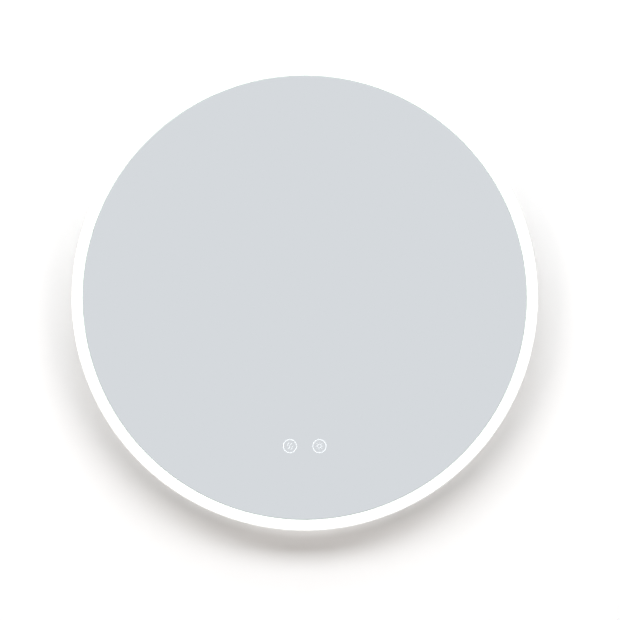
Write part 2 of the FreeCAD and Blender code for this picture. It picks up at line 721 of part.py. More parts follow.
def driver_case():
    """Open shell of the driver, with an ear for a screw at each end."""
    front = PAN_INSIDE - DRIVER_HEIGHT + DRIVER_WALL
    shell = chamfered(0, DRIVER_V, DRIVER_LENGTH, DRIVER_WIDTH, front, PAN_INSIDE, DRIVER_CORNER)
    inside = block(0, DRIVER_V, DRIVER_LENGTH - 2 * DRIVER_WALL, DRIVER_WIDTH - 2 * DRIVER_WALL,
                   front - BEYOND, PAN_INSIDE - DRIVER_WALL)
    d0 = PAN_INSIDE - 2.5
    ears = [chamfered(s * DRIVER_SCREW_X, DRIVER_V, 14, 12, d0, PAN_INSIDE, DRIVER_CORNER) for s in (-1, 1)]
    d1 = PAN_INSIDE + BEYOND
    holes = [screw_hole(s * DRIVER_SCREW_X, DRIVER_V, 1.5, d0 - BEYOND, d1) for s in (-1, 1)]
    return shell.fuse(ears).cut([inside] + holes)


def driver_lid():
    """Lid that closes the driver, with a rim that fits inside the case."""
    front = PAN_INSIDE - DRIVER_HEIGHT
    seam = front + DRIVER_WALL
    lid = chamfered(0, DRIVER_V, DRIVER_LENGTH, DRIVER_WIDTH, front, seam, DRIVER_CORNER)
    length = DRIVER_LENGTH - 2 * DRIVER_WALL - 0.4
    width = DRIVER_WIDTH - 2 * DRIVER_WALL - 0.4
    rim = block(0, DRIVER_V, length, width, seam, seam + 2)
    return lid.fuse(rim.cut(block(0, DRIVER_V, length - 3, width - 3, seam - BEYOND, seam + 3)))


def driver_screws():
    """Screws from the back of the pan into the driver's ears."""
    return group(screw(s * DRIVER_SCREW_X, DRIVER_V, 3.0, 1.6, 1.5, PAN_BACK, SHEET + 2.5) for s in (-1, 1))


def driver_board():
    back = PAN_INSIDE - DRIVER_WALL
    return block(0, DRIVER_V, DRIVER_LENGTH - 8, DRIVER_WIDTH - 8, back - BOARD_THICKNESS, back)


def driver_components():
    """Transformer core and winding, choke, heat sink, two capacitors, and the two rows of terminals."""
    foot = PAN_INSIDE - DRIVER_WALL - BOARD_THICKNESS
    core = block(4, DRIVER_V, 26, 24, foot - 12, foot)
    core = core.cut(block(4, DRIVER_V, 18, 26, foot - 9, foot - 3))
    winding = block(4, DRIVER_V, 18, 22, foot - 9, foot - 3)
    choke = block(50, DRIVER_V, 12, 16, foot - 10, foot)
    sink = block(-52, DRIVER_V, 3, 28, foot - 13, foot)
    capacitors = [many_sided(x, DRIVER_V - 6, 5, HEAD_SIDES, foot - 12, foot) for x in (-34, 34)]
    terminals = [block(s * 72, DRIVER_V, 9, 20, foot - 8, foot) for s in (-1, 1)]
    return group([core, winding, choke, sink] + capacitors + terminals)


# ---- Control module, touch sensors, heater -------------------------------------------------------

def control_module():
    """Potted box with the relay and the dimmer that the touch sensors switch."""
    front = PAN_INSIDE - MODULE_HEIGHT
    box = chamfered(0, MODULE_V, MODULE_LENGTH, MODULE_WIDTH, front, PAN_INSIDE, MODULE_CORNER)
    rim = 2 * MODULE_RIM
    potting = block(0, MODULE_V, MODULE_LENGTH - rim, MODULE_WIDTH - rim, front - BEYOND, front + 1)
    return box.cut(potting)


def touch_housing(x):
    """Cup stuck to the film round one touch sign, with posts for its board and a notch for its lead."""
    v = -SIGN_DROP + (SENSOR_ABOVE - SENSOR_BELOW) / 2
    height = SENSOR_ABOVE + SENSOR_BELOW
    back = FILM_BACK + SENSOR_DEPTH
    cup = block(x, v, SENSOR_WIDTH, height, FILM_BACK, back)
    inner_width = SENSOR_WIDTH - 2 * SENSOR_WALL
    inner_height = height - 2 * SENSOR_WALL
    cup = cup.cut(block(x, v, inner_width, inner_height, FILM_BACK - BEYOND, back - SENSOR_WALL))
    posts = [
        block(x + sx * (inner_width - SENSOR_POST) / 2, v + sv * (inner_height - SENSOR_POST) / 2,
              SENSOR_POST, SENSOR_POST, SENSOR_BOARD_BACK, back - SENSOR_WALL)
        for sx in (-1, 1) for sv in (-1, 1)
    ]
    top = v + height / 2
    middle = SENSOR_LEAD_DEPTH
    notch = block(x, top, LEAD_WIDTH + 0.6, 4 * SENSOR_WALL, middle - 1.5, middle + 1.5)
    return cup.fuse(posts).cut(notch)


def touch_lens(x):
    """Clear tile that spreads the light of the sensor's own lamps over the sign."""
    return block(x, -SIGN_DROP, LENS_WIDTH, LENS_WIDTH, GLASS_THICKNESS, LENS_BACK)


def touch_board(x):
    """Sensor circuit behind the lens: the board, its chip, two lamps and the socket for its lead."""
    v = -SIGN_DROP + (SENSOR_ABOVE - SENSOR_BELOW) / 2
    front = SENSOR_BOARD_FRONT
    back = SENSOR_BOARD_BACK
    width = SENSOR_WIDTH - 2 * SENSOR_WALL - 0.6
    height = SENSOR_ABOVE + SENSOR_BELOW - 2 * SENSOR_WALL - 0.6
    board = block(x, v, width, height, front, back)
    chip = block(x, -SIGN_DROP, 5, 6, back, back + 1.2)
    socket = block(x, SENSOR_PLUG_V, 8, SENSOR_PLUG_HEIGHT, back, back + 3.2)
    lamp = block(x, -SIGN_DROP, LAMP_WIDTH, LAMP_LENGTH, front - LAMP_HEIGHT, front)
    lamps = [lamp.translated(RIGHT * (s * 5)) for s in (-1, 1)]
    return group([board, chip, socket] + lamps)


def demister_pad():
    """Self-adhesive heating film in the middle of the glass, stuck to the safety film."""
    return chamfered(0, HEATER_V, HEATER_WIDTH, HEATER_HEIGHT, FILM_BACK, HEATER_BACK, 10.0)


def demister_terminals():
    """Two foil strips that feed the heating film, and the sealed patch where its lead is soldered."""
    reach = HEATER_WIDTH / 2 - 10
    strip = block(0, HEATER_V, 8, HEATER_HEIGHT - 30, HEATER_BACK, HEATER_BACK + 0.3)
    strips = [strip.translated(RIGHT * (s * reach)) for s in (-1, 1)]
    patch = block(*HEATER_PATCH, 24, 12, HEATER_BACK, HEATER_BACK + LEAD_THICKNESS)
    return group(strips + [patch])


# ---- Leads ---------------------------------------------------------------------------------------

def clipped_lead(name, route, width, thickness):
    """A lead that lies parallel to the pan, through these (x, v) points."""
    return lead(name, [at(x, v, LEAD_DEPTH) for x, v in route], width, TO_WALL * thickness)


def rising_lead(name, x, route):
    """A lead that stays at one x, through these (v, depth) points."""
    return lead(name, [at(x, v, d) for v, d in route], LEAD_THICKNESS, RIGHT * LEAD_WIDTH)


def mains_lead():
    """From the terminals to the input end of the driver."""
    end = -DRIVER_LENGTH / 2
    v = DRIVER_V + 12
    left = end - LEAD_REACH
    route = [(TERMINAL_X - TERMINAL_LENGTH / 2, MAINS_V), (left, MAINS_V), (left, v), (end, v)]
    return clipped_lead("mains_lead", route, MAINS_WIDTH, MAINS_THICKNESS)


def heater_feed_lead():
    """From the terminals round the driver to the control module, which switches the heating film."""
    v = MODULE_V - 4
    start = TERMINAL_X - TERMINAL_LENGTH / 2
    route = [(start, FEED_V), (FEED_X, FEED_V), (FEED_X, v), (-MODULE_LENGTH / 2, v)]
    return clipped_lead("heater_feed_lead", route, MAINS_WIDTH, MAINS_THICKNESS)


def driver_lead():
    """From the output end of the driver to the control module."""
    end = DRIVER_LENGTH / 2
    start = DRIVER_V - 12
    v = MODULE_V + 8
    right = end + LEAD_REACH
    route = [(end, start), (right, start), (right, v), (MODULE_LENGTH / 2, v)]
    return clipped_lead("driver_lead", route, LEAD_WIDTH, LEAD_THICKNESS)


def light_tape_lead():
    """From the control module down through the channel to the back of the light tape."""
    end = -(CHANNEL_INNER_R + CHANNEL_THICKNESS)
    start = MODULE_V - MODULE_WIDTH / 2
    route = [(start, LEAD_DEPTH), (-222, LEAD_DEPTH), (-240, LAMP_DEPTH), (end, LAMP_DEPTH)]
    return rising_lead("light_tape_lead", 0, route)


def touch_lead(x):
    """Flat lead from one sensor's socket straight up to the control module."""
    start = SENSOR_PLUG_V + SENSOR_PLUG_HEIGHT / 2
    end = MODULE_V - MODULE_WIDTH / 2
    half = LEAD_THICKNESS / 2
    middle = SENSOR_LEAD_DEPTH
    return prism(x - LEAD_WIDTH / 2, x + LEAD_WIDTH / 2, start, end, middle - half, middle + half)


def heater_lead():
    """From the heating film's patch to the control module."""
    x, v = HEATER_PATCH
    start = v - 6
    end = MODULE_V + MODULE_WIDTH / 2
    depth = HEATER_BACK + LEAD_THICKNESS / 2
    route = [(start, depth), (start - 11, depth), (end + 12, SENSOR_LEAD_DEPTH), (end, SENSOR_LEAD_DEPTH)]
    return rising_lead("heater_lead", x, route)


def earth_wire():
    """From the terminals to the tag on the earth stud."""
    x, v = EARTH_STUD
    route = [(TERMINAL_X - TERMINAL_LENGTH / 2, EARTH_V), (x, EARTH_V), (x, v - 14)]
    return clipped_lead("earth_wire", route, EARTH_WIDTH, EARTH_WIDTH - 0.4)


def lead_clips():
    """Adhesive saddles that hold the leads to the pan."""
    beside_driver = DRIVER_LENGTH / 2 + LEAD_REACH
    saddles = [
        (-beside_driver, -6.5, MAINS_WIDTH, MAINS_THICKNESS),
        (FEED_X, -45.0, MAINS_WIDTH, MAINS_THICKNESS),
        (beside_driver, -74.0, LEAD_WIDTH, LEAD_THICKNESS),
        (0.0, -190.0, LEAD_WIDTH, LEAD_THICKNESS),
    ]
    made = []
    for x, v, width, thickness in saddles:
        half = thickness / 2 + 0.2
        saddle = block(x, v, width + 4.4, 8, LEAD_DEPTH - half - 1.5, PAN_INSIDE)
        made.append(saddle.cut(block(x, v, width + 0.4, 10, LEAD_DEPTH - half, LEAD_DEPTH + half)))
    return group(made)


# ---- Build ---------------------------------------------------------------------------------------

def build():
    os.makedirs(OUT, exist_ok=True)
    left, right = sign_xs()
    keep("mirror_glass", mirror_glass())
    keep("safety_film", safety_film())
    keep("glass_tape_pads", glass_tape_pads())
    keep("diffuser_ring", diffuser_ring())
    keep("led_channel", led_channel())
    keep("led_tape", led_tape())
    keep("led_packages", led_packages())
    keep("back_pan", back_pan())
    keep("pan_screws", pan_screws())
    keep("wall_bumpers", wall_bumpers())
    keep("wall_cleat", wall_cleat())
    keep("hanger_rail", hanger_rail())
    keep("hanger_rivets", hanger_rivets())
    keep("terminal_tray", terminal_tray())
    keep("terminal_block", terminal_block())
    keep("terminal_clamps", terminal_clamps())
    keep("terminal_screws", terminal_screws())
    keep("cord_clamp", cord_clamp())
    keep("cord_clamp_screws", cord_clamp_screws())
    keep("service_gasket", service_gasket())
    keep("service_cover", service_cover())
    keep("cover_screws", cover_screws())
    keep("cable_grommet", cable_grommet())
    keep("earth_stud", earth_stud())
    keep("earth_tag", earth_tag())
    keep("earth_nut", earth_nut())
    keep("driver_case", driver_case())
    keep("driver_lid", driver_lid())
    keep("driver_screws", driver_screws())
    keep("driver_board", driver_board())
    keep("driver_components", driver_components())
    keep("control_module", control_module())
    keep("demister_pad", demister_pad())
    keep("demister_terminals", demister_terminals())
    keep("demister_touch_housing", touch_housing(left))
    keep("demister_touch_lens", touch_lens(left))
    keep("demister_touch_board", touch_board(left))
    keep("light_touch_housing", touch_housing(right))
    keep("light_touch_lens", touch_lens(right))
    keep("light_touch_board", touch_board(right))
    keep("mains_lead", mains_lead())
    keep("heater_feed_lead", heater_feed_lead())
    keep("driver_lead", driver_lead())
    keep("light_tape_lead", light_tape_lead())
    keep("demister_touch_lead", touch_lead(left))
    keep("light_touch_lead", touch_lead(right))
    keep("heater_lead", heater_lead())
    keep("earth_wire", earth_wire())
    keep("lead_clips", lead_clips())


build()
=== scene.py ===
"""A round bathroom mirror with a lit rim: finishes, fine forms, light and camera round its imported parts."""

import math

import bmesh
import bpy
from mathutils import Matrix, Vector

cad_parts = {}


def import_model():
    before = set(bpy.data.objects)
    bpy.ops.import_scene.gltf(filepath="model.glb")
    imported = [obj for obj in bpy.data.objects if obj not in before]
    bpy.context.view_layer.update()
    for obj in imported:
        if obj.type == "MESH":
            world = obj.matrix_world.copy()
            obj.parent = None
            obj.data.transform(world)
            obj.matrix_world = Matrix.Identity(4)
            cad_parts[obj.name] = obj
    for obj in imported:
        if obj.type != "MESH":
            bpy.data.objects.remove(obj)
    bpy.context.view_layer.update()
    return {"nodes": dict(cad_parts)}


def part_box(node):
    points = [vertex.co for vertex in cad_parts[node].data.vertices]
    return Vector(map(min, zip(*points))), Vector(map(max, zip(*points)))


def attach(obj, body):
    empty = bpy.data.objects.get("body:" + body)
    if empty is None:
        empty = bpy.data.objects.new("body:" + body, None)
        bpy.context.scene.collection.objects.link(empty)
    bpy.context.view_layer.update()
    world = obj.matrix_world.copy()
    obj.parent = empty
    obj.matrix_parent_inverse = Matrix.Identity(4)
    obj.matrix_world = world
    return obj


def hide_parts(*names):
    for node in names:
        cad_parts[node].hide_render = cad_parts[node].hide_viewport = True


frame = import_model()
NODES = frame["nodes"]

# ---- Driving dimensions, in metres ---------------------------------------------------------------

MM = 0.001
GLASS_LOW, GLASS_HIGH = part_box("mirror_glass")
RING_LOW, RING_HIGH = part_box("diffuser_ring")
PAN_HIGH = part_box("back_pan")[1]
CENTRE_Z = (GLASS_LOW.z + GLASS_HIGH.z) / 2
FRONT_Y = RING_LOW.y
RING_R = RING_HIGH.x
SHEET = 1.0 * MM

SIGN_DROP = 191.0 * MM         # the touch signs are this far below the centre of the glass
SIGN_SPACING = 38.0 * MM
SIGN_RING_R = 8.45 * MM
SIGN_RING_STEPS = 72
SIGN_LINE = 1.1 * MM
SIGN_FINE_LINE = 0.6 * MM
SIGN_PROUD = 0.05 * MM

PAN_RAISE = 3.5 * MM           # the middle of the pan stands this far behind its rim
PAN_RIM_BACK = RING_HIGH.y + SHEET
PAN_BACK = PAN_RIM_BACK + PAN_RAISE
PAN_TOP_R = 256.0 * MM
PAN_SHOULDER_R = 262.0 * MM
PAN_BEND_R = 3.0 * MM
PAN_SEGMENTS = 192
BEAD_RAISE = 2.2 * MM          # stiffening beads, pressed towards the wall
BEAD_ROOT = 0.4 * MM           # a bead starts this far inside the sheet, so that the two join
BEAD_SLOPE = 2.6 * MM          # a bead is this much narrower at its top, each side
BEAD_LENGTH = 150.0 * MM
BEAD_WIDTH = 16.0 * MM
SIDE_BEAD_X = 178.0 * MM
LOW_BEAD_DROP = 82.0 * MM
VENTS_PER_GROUP = 6
VENT_PITCH_DEG = 11.0
VENT_MIDDLE_R = 221.0 * MM
VENT_LENGTH = 30.0 * MM
VENT_WIDTH = 5.0 * MM
VENT_CORNER = 2.45 * MM
SERVICE_RISE = 40.0 * MM       # the service opening's middle is this far above the centre
SERVICE_WIDTH = 110.0 * MM
SERVICE_HEIGHT = 52.0 * MM
SERVICE_CORNER = 1.0 * MM

SCREW_HEAD_SHARE = 0.48        # height of a screw's head to the head's radius
SCREW_RECESS_SHARE = 0.55      # reach of the cross recess to the head's radius
SCREW_PITCH = 0.8 * MM
SCREW_POINT = 1.2 * MM         # the end of the shank that has no thread
FASTENER_SEGMENTS = 32
BUMPER_SEGMENTS = 48

SAME_PLACE = 0.01 * MM         # corners this close are one corner
FLAT_ANGLE = math.radians(0.4)     # faces that turn less than this are one face
SHARP_ANGLE = math.radians(35)     # an edge that turns more than this is rounded

# ---- Photograph and camera -----------------------------------------------------------------------

PHOTO_SIDE_PX = 620
PHOTO_MIRROR_R_PX = 233.2      # the lit outline
PHOTO_MIRROR_X_PX = 304.7
PHOTO_MIRROR_Y_PX = 297.6
CAMERA_DISTANCE = 2.2
SENSOR_WIDTH = 36.0            # in millimetres

# ---- Stage and light -----------------------------------------------------------------------------

FLOOR_Z = -1.62
FLOOR_REACH = 60.0
FLOOR_GLOW = (0.74, 0.738, 0.735, 1)      # only the camera sees it
WALL_Y = 0.5 * MM              # just behind the cleat and the buffers
WALL_REACH = 4.0
WALL_TOP = 3.0
WALL_COLOUR = (0.83, 0.83, 0.83, 1)
WALL_PAINTED_LIFT = 0.15               # painted light: emission added to the wall away from the mirror, from one radius to another
WALL_PAINTED_LIFT_FROM = 0.33
WALL_PAINTED_LIFT_TO = 0.42
WALL_PAINTED_GLOW = 0.24               # painted glow: emission for the lit ring's light on the wall, most below it and none at its sides
WALL_PAINTED_GLOW_TO = 0.318           # the radius at which that painted glow ends
WORLD_LEVEL = 0.055
MIRRORED_GREY = 0.62           # what the glass and metal show from straight below
MIRRORED_LOW = -0.9            # heights of a direction between which that turns to white
MIRRORED_HIGH = -0.18
KEY_POWER = 93.0
KEY_COLOUR = (0.965, 0.985, 1.0)
KEY_SIZE = (5.0, 0.9)
KEY_PLACE = Vector((0.0, -1.84, CENTRE_Z + 1.54))
FILL_POWER = 13.8
FILL_COLOUR = (1.0, 0.92, 0.87)
FILL_SIZE = (1.2, 1.0)
FILL_PLACES = (Vector((-1.69, -1.69, CENTRE_Z - 0.21)), Vector((1.69, -1.69, CENTRE_Z - 0.21)))
BACK_POWER = 60.0
BACK_COLOUR = (1.0, 1.0, 1.0)
BACK_SIZE = (1.2, 0.8)
BACK_PLACE = Vector((-0.7, 2.2, CENTRE_Z + 1.05))


# ---- Finishes ------------------------------------------------------------------------------------

def srgb(red, green, blue):
    """A linear colour from the 0 to 255 values that a picture shows."""
    channels = []
    for value in (red / 255, green / 255, blue / 255):
        channels.append(value / 12.92 if value <= 0.04045 else ((value + 0.055) / 1.055) ** 2.4)
    return (*channels, 1.0)


def add_node(tree, kind, inputs=None, **settings):
    """A shader node with its settings, and its inputs set or linked, by name or by number."""
    made = tree.nodes.new(kind)
    for key, value in settings.items():
        setattr(made, key, value)
    for socket, value in (inputs or {}).items():
        if isinstance(value, bpy.types.NodeSocket):
            tree.links.new(value, made.inputs[socket])
        else:
            made.inputs[socket].default_value = value
    return made


class Finish:
    """One material: a Principled shader, and the textures that vary it over the surface."""

    def __init__(self, name, colour, roughness, **sockets):
        self.material = bpy.data.materials.new(name)
        self.material.use_nodes = True
        self.tree = self.material.node_tree
        self.shader = self.tree.nodes["Principled BSDF"]
        self.shader.inputs["Base Color"].default_value = colour
        self.shader.inputs["Roughness"].default_value = roughness
        for socket, value in sockets.items():
            self.shader.inputs[socket.replace("_", " ")].default_value = value

    def node(self, kind, inputs=None, **settings):
        return add_node(self.tree, kind, inputs, **settings)

    def link(self, output, socket):
        """Feeds one of the shader's inputs."""
        self.tree.links.new(output, self.shader.inputs[socket])
        return self

    def place(self, stretch=(1, 1, 1), middle=(0, 0, 0)):
        """The surface's own coordinates in metres, stretched along an axis by a factor below 1."""
        coordinates = self.node("ShaderNodeTexCoord").outputs["Object"]
        moved = self.node("ShaderNodeMapping", {"Vector": coordinates, "Location": [-c for c in middle]})
        scaled = self.node("ShaderNodeVectorMath", {0: moved.outputs[0], 1: stretch}, operation="MULTIPLY")
        return scaled.outputs[0]

    def noise(self, size, detail=2.0, stretch=(1, 1, 1)):
        """Soft blotches about as wide as size."""
        inputs = {"Vector": self.place(stretch), "Scale": 1 / size, "Detail": detail}
        return self.node("ShaderNodeTexNoise", inputs).outputs["Fac"]

    def cells(self, size, output="Distance"):
        """Cells about as wide as size: the distance from each cell's middle, or its Color."""
        inputs = {"Vector": self.place(), "Scale": 1 / size}
        return self.node("ShaderNodeTexVoronoi", inputs).outputs[output]

    def lines(self, pitch, axis):
        """Parallel lines square to one axis."""
        inputs = {"Vector": self.place(), "Scale": math.pi / (10 * pitch)}
        return self.node("ShaderNodeTexWave", inputs, bands_direction=axis).outputs["Fac"]

    def turned_lines(self, pitch):
        """Rings about the glass axis, as a rolling or turning tool leaves them."""
        vector = self.place(middle=(0, 0, CENTRE_Z))
        inputs = {"Vector": vector, "Scale": math.pi / (10 * pitch), "Distortion": 1.5, "Detail": 3.0}
        wave = self.node("ShaderNodeTexWave", inputs, wave_type="RINGS", rings_direction="Y")
        return wave.outputs["Fac"]

    def ramp(self, factor, low, high, start=0.0, end=1.0):
        """A value that goes from low to high as the factor goes from start to end."""
        inputs = {"Value": factor, "From Min": start, "From Max": end, "To Min": low, "To Max": high}
        return self.node("ShaderNodeMapRange", inputs).outputs["Result"]

    def blend(self, factor, first, second):
        """The first colour where the factor is 0, and the second where it is 1."""
        return self.node("ShaderNodeMix", {0: factor, 6: first, 7: second}, data_type="RGBA").outputs[2]

    def colour(self, factor, first, second, start=0.3, end=0.7):
        """Varies the base colour between two colours."""
        return self.link(self.blend(self.ramp(factor, 0, 1, start, end), first, second), "Base Color")

    def gloss(self, factor, low, high, start=0.3, end=0.7):
        """Varies the roughness."""
        return self.link(self.ramp(factor, low, high, start, end), "Roughness")

    def relief(self, factor, depth):
        """Raises the surface by up to this depth, on top of any relief that it has."""
        inputs = {"Height": factor, "Distance": depth}
        before = self.shader.inputs["Normal"].links
        if before:
            inputs["Normal"] = before[0].from_socket
        return self.link(self.node("ShaderNodeBump", inputs).outputs["Normal"], "Normal")


def mirror_face():
    """Silver seen through float glass: sharp, cool, with the faintest haze."""
    made = Finish("mirror_face", srgb(213, 217, 221), 0.01, Metallic=1.0)
    return made.gloss(made.noise(90 * MM), 0.006, 0.02)


def ground_glass():
    """Fine-ground arris and edge."""
    made = Finish("ground_glass", srgb(186, 199, 194), 0.42, IOR=1.52)
    made.relief(made.noise(0.35 * MM, 3.0), 0.03 * MM)
    return made.gloss(made.noise(4 * MM), 0.34, 0.5)


def backing_paint():
    made = Finish("backing_paint", srgb(118, 124, 128), 0.5)
    made.colour(made.noise(30 * MM, 4.0), srgb(112, 118, 123), srgb(124, 130, 133))
    return made.relief(made.noise(2.2 * MM, 3.0), 0.02 * MM)


def opal():
    """Lit opal: brightest in line with the lamps, a little weaker towards the back and between them."""
    bright = (0.56, 0.56, 0.56, 1)
    between = (0.5, 0.5, 0.495, 1)
    at_back = (0.24, 0.24, 0.232, 1)
    made = Finish("opal", srgb(246, 246, 244), 0.42, IOR=1.49, Emission_Strength=1.0)
    depth = made.node("ShaderNodeSeparateXYZ", {0: made.place()}).outputs["Y"]
    to_back = made.ramp(depth, 0.0, 1.0, FRONT_Y + 4 * MM, RING_HIGH.y)
    patchy = made.ramp(made.noise(34 * MM, 1.0), 0.0, 1.0, 0.35, 0.65)
    made.link(made.blend(to_back, made.blend(patchy, between, bright), at_back), "Emission Color")
    made.relief(made.noise(0.5 * MM, 3.0), 0.015 * MM)
    return made.gloss(made.noise(12 * MM), 0.36, 0.48)


def lit_sign():
    """Clear window in the silvering, lit from behind."""
    made = Finish("lit_sign", srgb(202, 207, 211), 0.3, Emission_Strength=1.0)
    made.shader.inputs["Emission Color"].default_value = (0.36, 0.375, 0.39, 1)
    made.colour(made.noise(3 * MM), srgb(196, 202, 206), srgb(208, 213, 216))
    return made


def rolled_aluminium():
    made = Finish("rolled_aluminium", srgb(208, 210, 212), 0.34, Metallic=1.0)
    made.colour(made.noise(18 * MM, 4.0), srgb(200, 202, 205), srgb(214, 216, 218))
    made.relief(made.turned_lines(0.6 * MM), 0.01 * MM)
    return made.gloss(made.noise(6 * MM, 4.0), 0.28, 0.42)


def powder_coat(name, colour, other):
    """Baked powder: orange peel, faint cloudiness, a few handling marks."""
    made = Finish(name, colour, 0.42, Specular_IOR_Level=0.5)
    made.colour(made.noise(60 * MM, 5.0), colour, other)
    made.relief(made.noise(1.1 * MM, 1.0), 0.035 * MM)
    made.relief(made.noise(0.32 * MM, 2.0), 0.008 * MM)
    return made.gloss(made.noise(14 * MM, 4.0), 0.34, 0.5)


def galvanised():
    """Zinc with its spangle, and scratches along the rail."""
    made = Finish("galvanised", srgb(176, 179, 182), 0.4, Metallic=1.0)
    grey = made.node("ShaderNodeSeparateColor", {0: made.cells(5.5 * MM, output="Color")}).outputs[0]
    made.colour(grey, srgb(168, 171, 174), srgb(185, 187, 189), 0.0, 1.0)
    made.relief(made.noise(0.5 * MM, 2.0, (0.02, 1, 1)), 0.006 * MM)
    return made.gloss(grey, 0.3, 0.5, 0.0, 1.0)


def zinc_plate():
    made = Finish("zinc_plate", srgb(190, 194, 198), 0.26, Metallic=1.0)
    made.colour(made.noise(2.5 * MM, 3.0), srgb(180, 186, 192), srgb(204, 204, 198))
    made.relief(made.noise(0.25 * MM), 0.006 * MM)
    return made.gloss(made.noise(1.2 * MM, 3.0), 0.2, 0.36)


def brass():
    made = Finish("brass", srgb(208, 176, 104), 0.3, Metallic=1.0)
    made.colour(made.noise(3 * MM, 4.0), srgb(196, 160, 88), srgb(218, 188, 118))
    return made.gloss(made.noise(1.5 * MM, 3.0), 0.24, 0.42)


def copper_foil():
    made = Finish("copper_foil", srgb(206, 142, 104), 0.3, Metallic=1.0)
    made.relief(made.noise(2 * MM, 3.0), 0.03 * MM)
    return made.gloss(made.noise(5 * MM, 3.0), 0.22, 0.42)


def rubber(name, shade):
    dark = srgb(shade, shade, shade + 1)
    made = Finish(name, dark, 0.72, Specular_IOR_Level=0.35)
    made.colour(made.noise(6 * MM, 4.0), dark, srgb(shade + 9, shade + 9, shade + 9))
    made.relief(made.noise(0.3 * MM, 3.0), 0.02 * MM)
    return made.gloss(made.noise(3 * MM, 3.0), 0.62, 0.82)


def foam(name, shade):
    """Closed cells, cut open at the surface. The open cells are painted darker towards their middles: painted
    shade in the pits.
    """
    cut_wall = srgb(shade, shade, shade)
    # painted shade for the pits of the open cells
    inside = srgb(shade * 0.72, shade * 0.72, shade * 0.72)
    made = Finish(name, cut_wall, 0.9, Specular_IOR_Level=0.2)
    pits = made.cells(0.7 * MM)
    # painted shade: darker towards the middle of each pit, where the bumps sink
    made.colour(pits, inside, cut_wall, 0.0, 0.45)
    return made.relief(pits, 0.15 * MM)


def moulded(name, colour, other, **sockets):
    """Plastic from a spark-eroded mould."""
    made = Finish(name, colour, 0.46, **sockets)
    made.colour(made.noise(25 * MM, 3.0), colour, other)
    made.relief(made.noise(0.22 * MM, 2.0), 0.018 * MM)
    return made.gloss(made.noise(5 * MM, 3.0), 0.4, 0.54)


def lamp_circuit():
    """White flexible circuit with two supply tracks along it under the mask."""
    made = Finish("lamp_circuit", srgb(238, 238, 232), 0.4)
    tracks = made.lines(3.3 * MM, "Y")
    made.colour(tracks, srgb(240, 240, 236), srgb(222, 220, 206), 0.6, 0.75)
    return made.relief(tracks, 0.03 * MM)


def lamp_body():
    """Lamp package: white frame and phosphor."""
    made = Finish("lamp_body", srgb(244, 224, 132), 0.3, Coat_Weight=0.5, Emission_Strength=1.0)
    made.shader.inputs["Emission Color"].default_value = (0.6, 0.55, 0.35, 1)
    return made.colour(made.noise(1.2 * MM), srgb(240, 216, 116), srgb(250, 238, 176))


def solder_mask():
    """Green circuit: tracks under the mask, and the weave of the board."""
    made = Finish("solder_mask", srgb(24, 92, 48), 0.32, Coat_Weight=0.3)
    tracks = made.node("ShaderNodeTexBrick", {"Vector": made.place(), "Scale": 90.0, "Mortar Size": 0.012})
    made.colour(tracks.outputs["Fac"], srgb(22, 84, 44), srgb(58, 128, 70), 0.2, 0.8)
    return made.relief(tracks.outputs["Fac"], 0.03 * MM)


def heater():
    """Amber film with the close turns of the heating track."""
    made = Finish("heater", srgb(170, 124, 60), 0.25, Coat_Weight=0.4)
    track = made.lines(3.0 * MM, "X")
    made.colour(track, srgb(150, 104, 46), srgb(190, 178, 160), 0.42, 0.58)
    return made.relief(track, 0.05 * MM)


def woven_film():
    """Grey film with its reinforcing threads."""
    made = Finish("woven_film", srgb(158, 163, 168), 0.55)
    both_ways = {0: made.lines(1.6 * MM, "X"), 1: made.lines(1.6 * MM, "Z")}
    threads = made.node("ShaderNodeMath", both_ways, operation="MAXIMUM").outputs[0]
    made.colour(threads, srgb(150, 155, 160), srgb(172, 176, 180), 0.6, 0.95)
    return made.relief(threads, 0.03 * MM)


def clear_acrylic():
    made = Finish("clear_acrylic", srgb(246, 249, 250), 0.08, Transmission_Weight=0.9, IOR=1.49)
    return made.gloss(made.noise(6 * MM), 0.05, 0.14)


def sheath(name, colour, other):
    """Extruded sheath, faintly printed by the conductors under it."""
    made = Finish(name, colour, 0.38)
    made.colour(made.noise(16 * MM, 2.0), colour, other)
    made.relief(made.noise(2.4 * MM, 2.0), 0.05 * MM)
    return made.gloss(made.noise(4 * MM), 0.32, 0.48)


def earth_sheath():
    """Green and yellow stripes."""
    made = Finish("earth_sheath", srgb(70, 140, 40), 0.4)
    stripe = made.lines(3.0 * MM, "DIAGONAL")
    return made.colour(stripe, srgb(52, 132, 44), srgb(222, 200, 32), 0.5, 0.56)


def potting():
    made = Finish("potting", srgb(24, 24, 26), 0.3, Coat_Weight=0.4)
    made.relief(made.noise(7 * MM, 2.0), 0.12 * MM)
    return made.gloss(made.noise(9 * MM, 3.0), 0.22, 0.42)


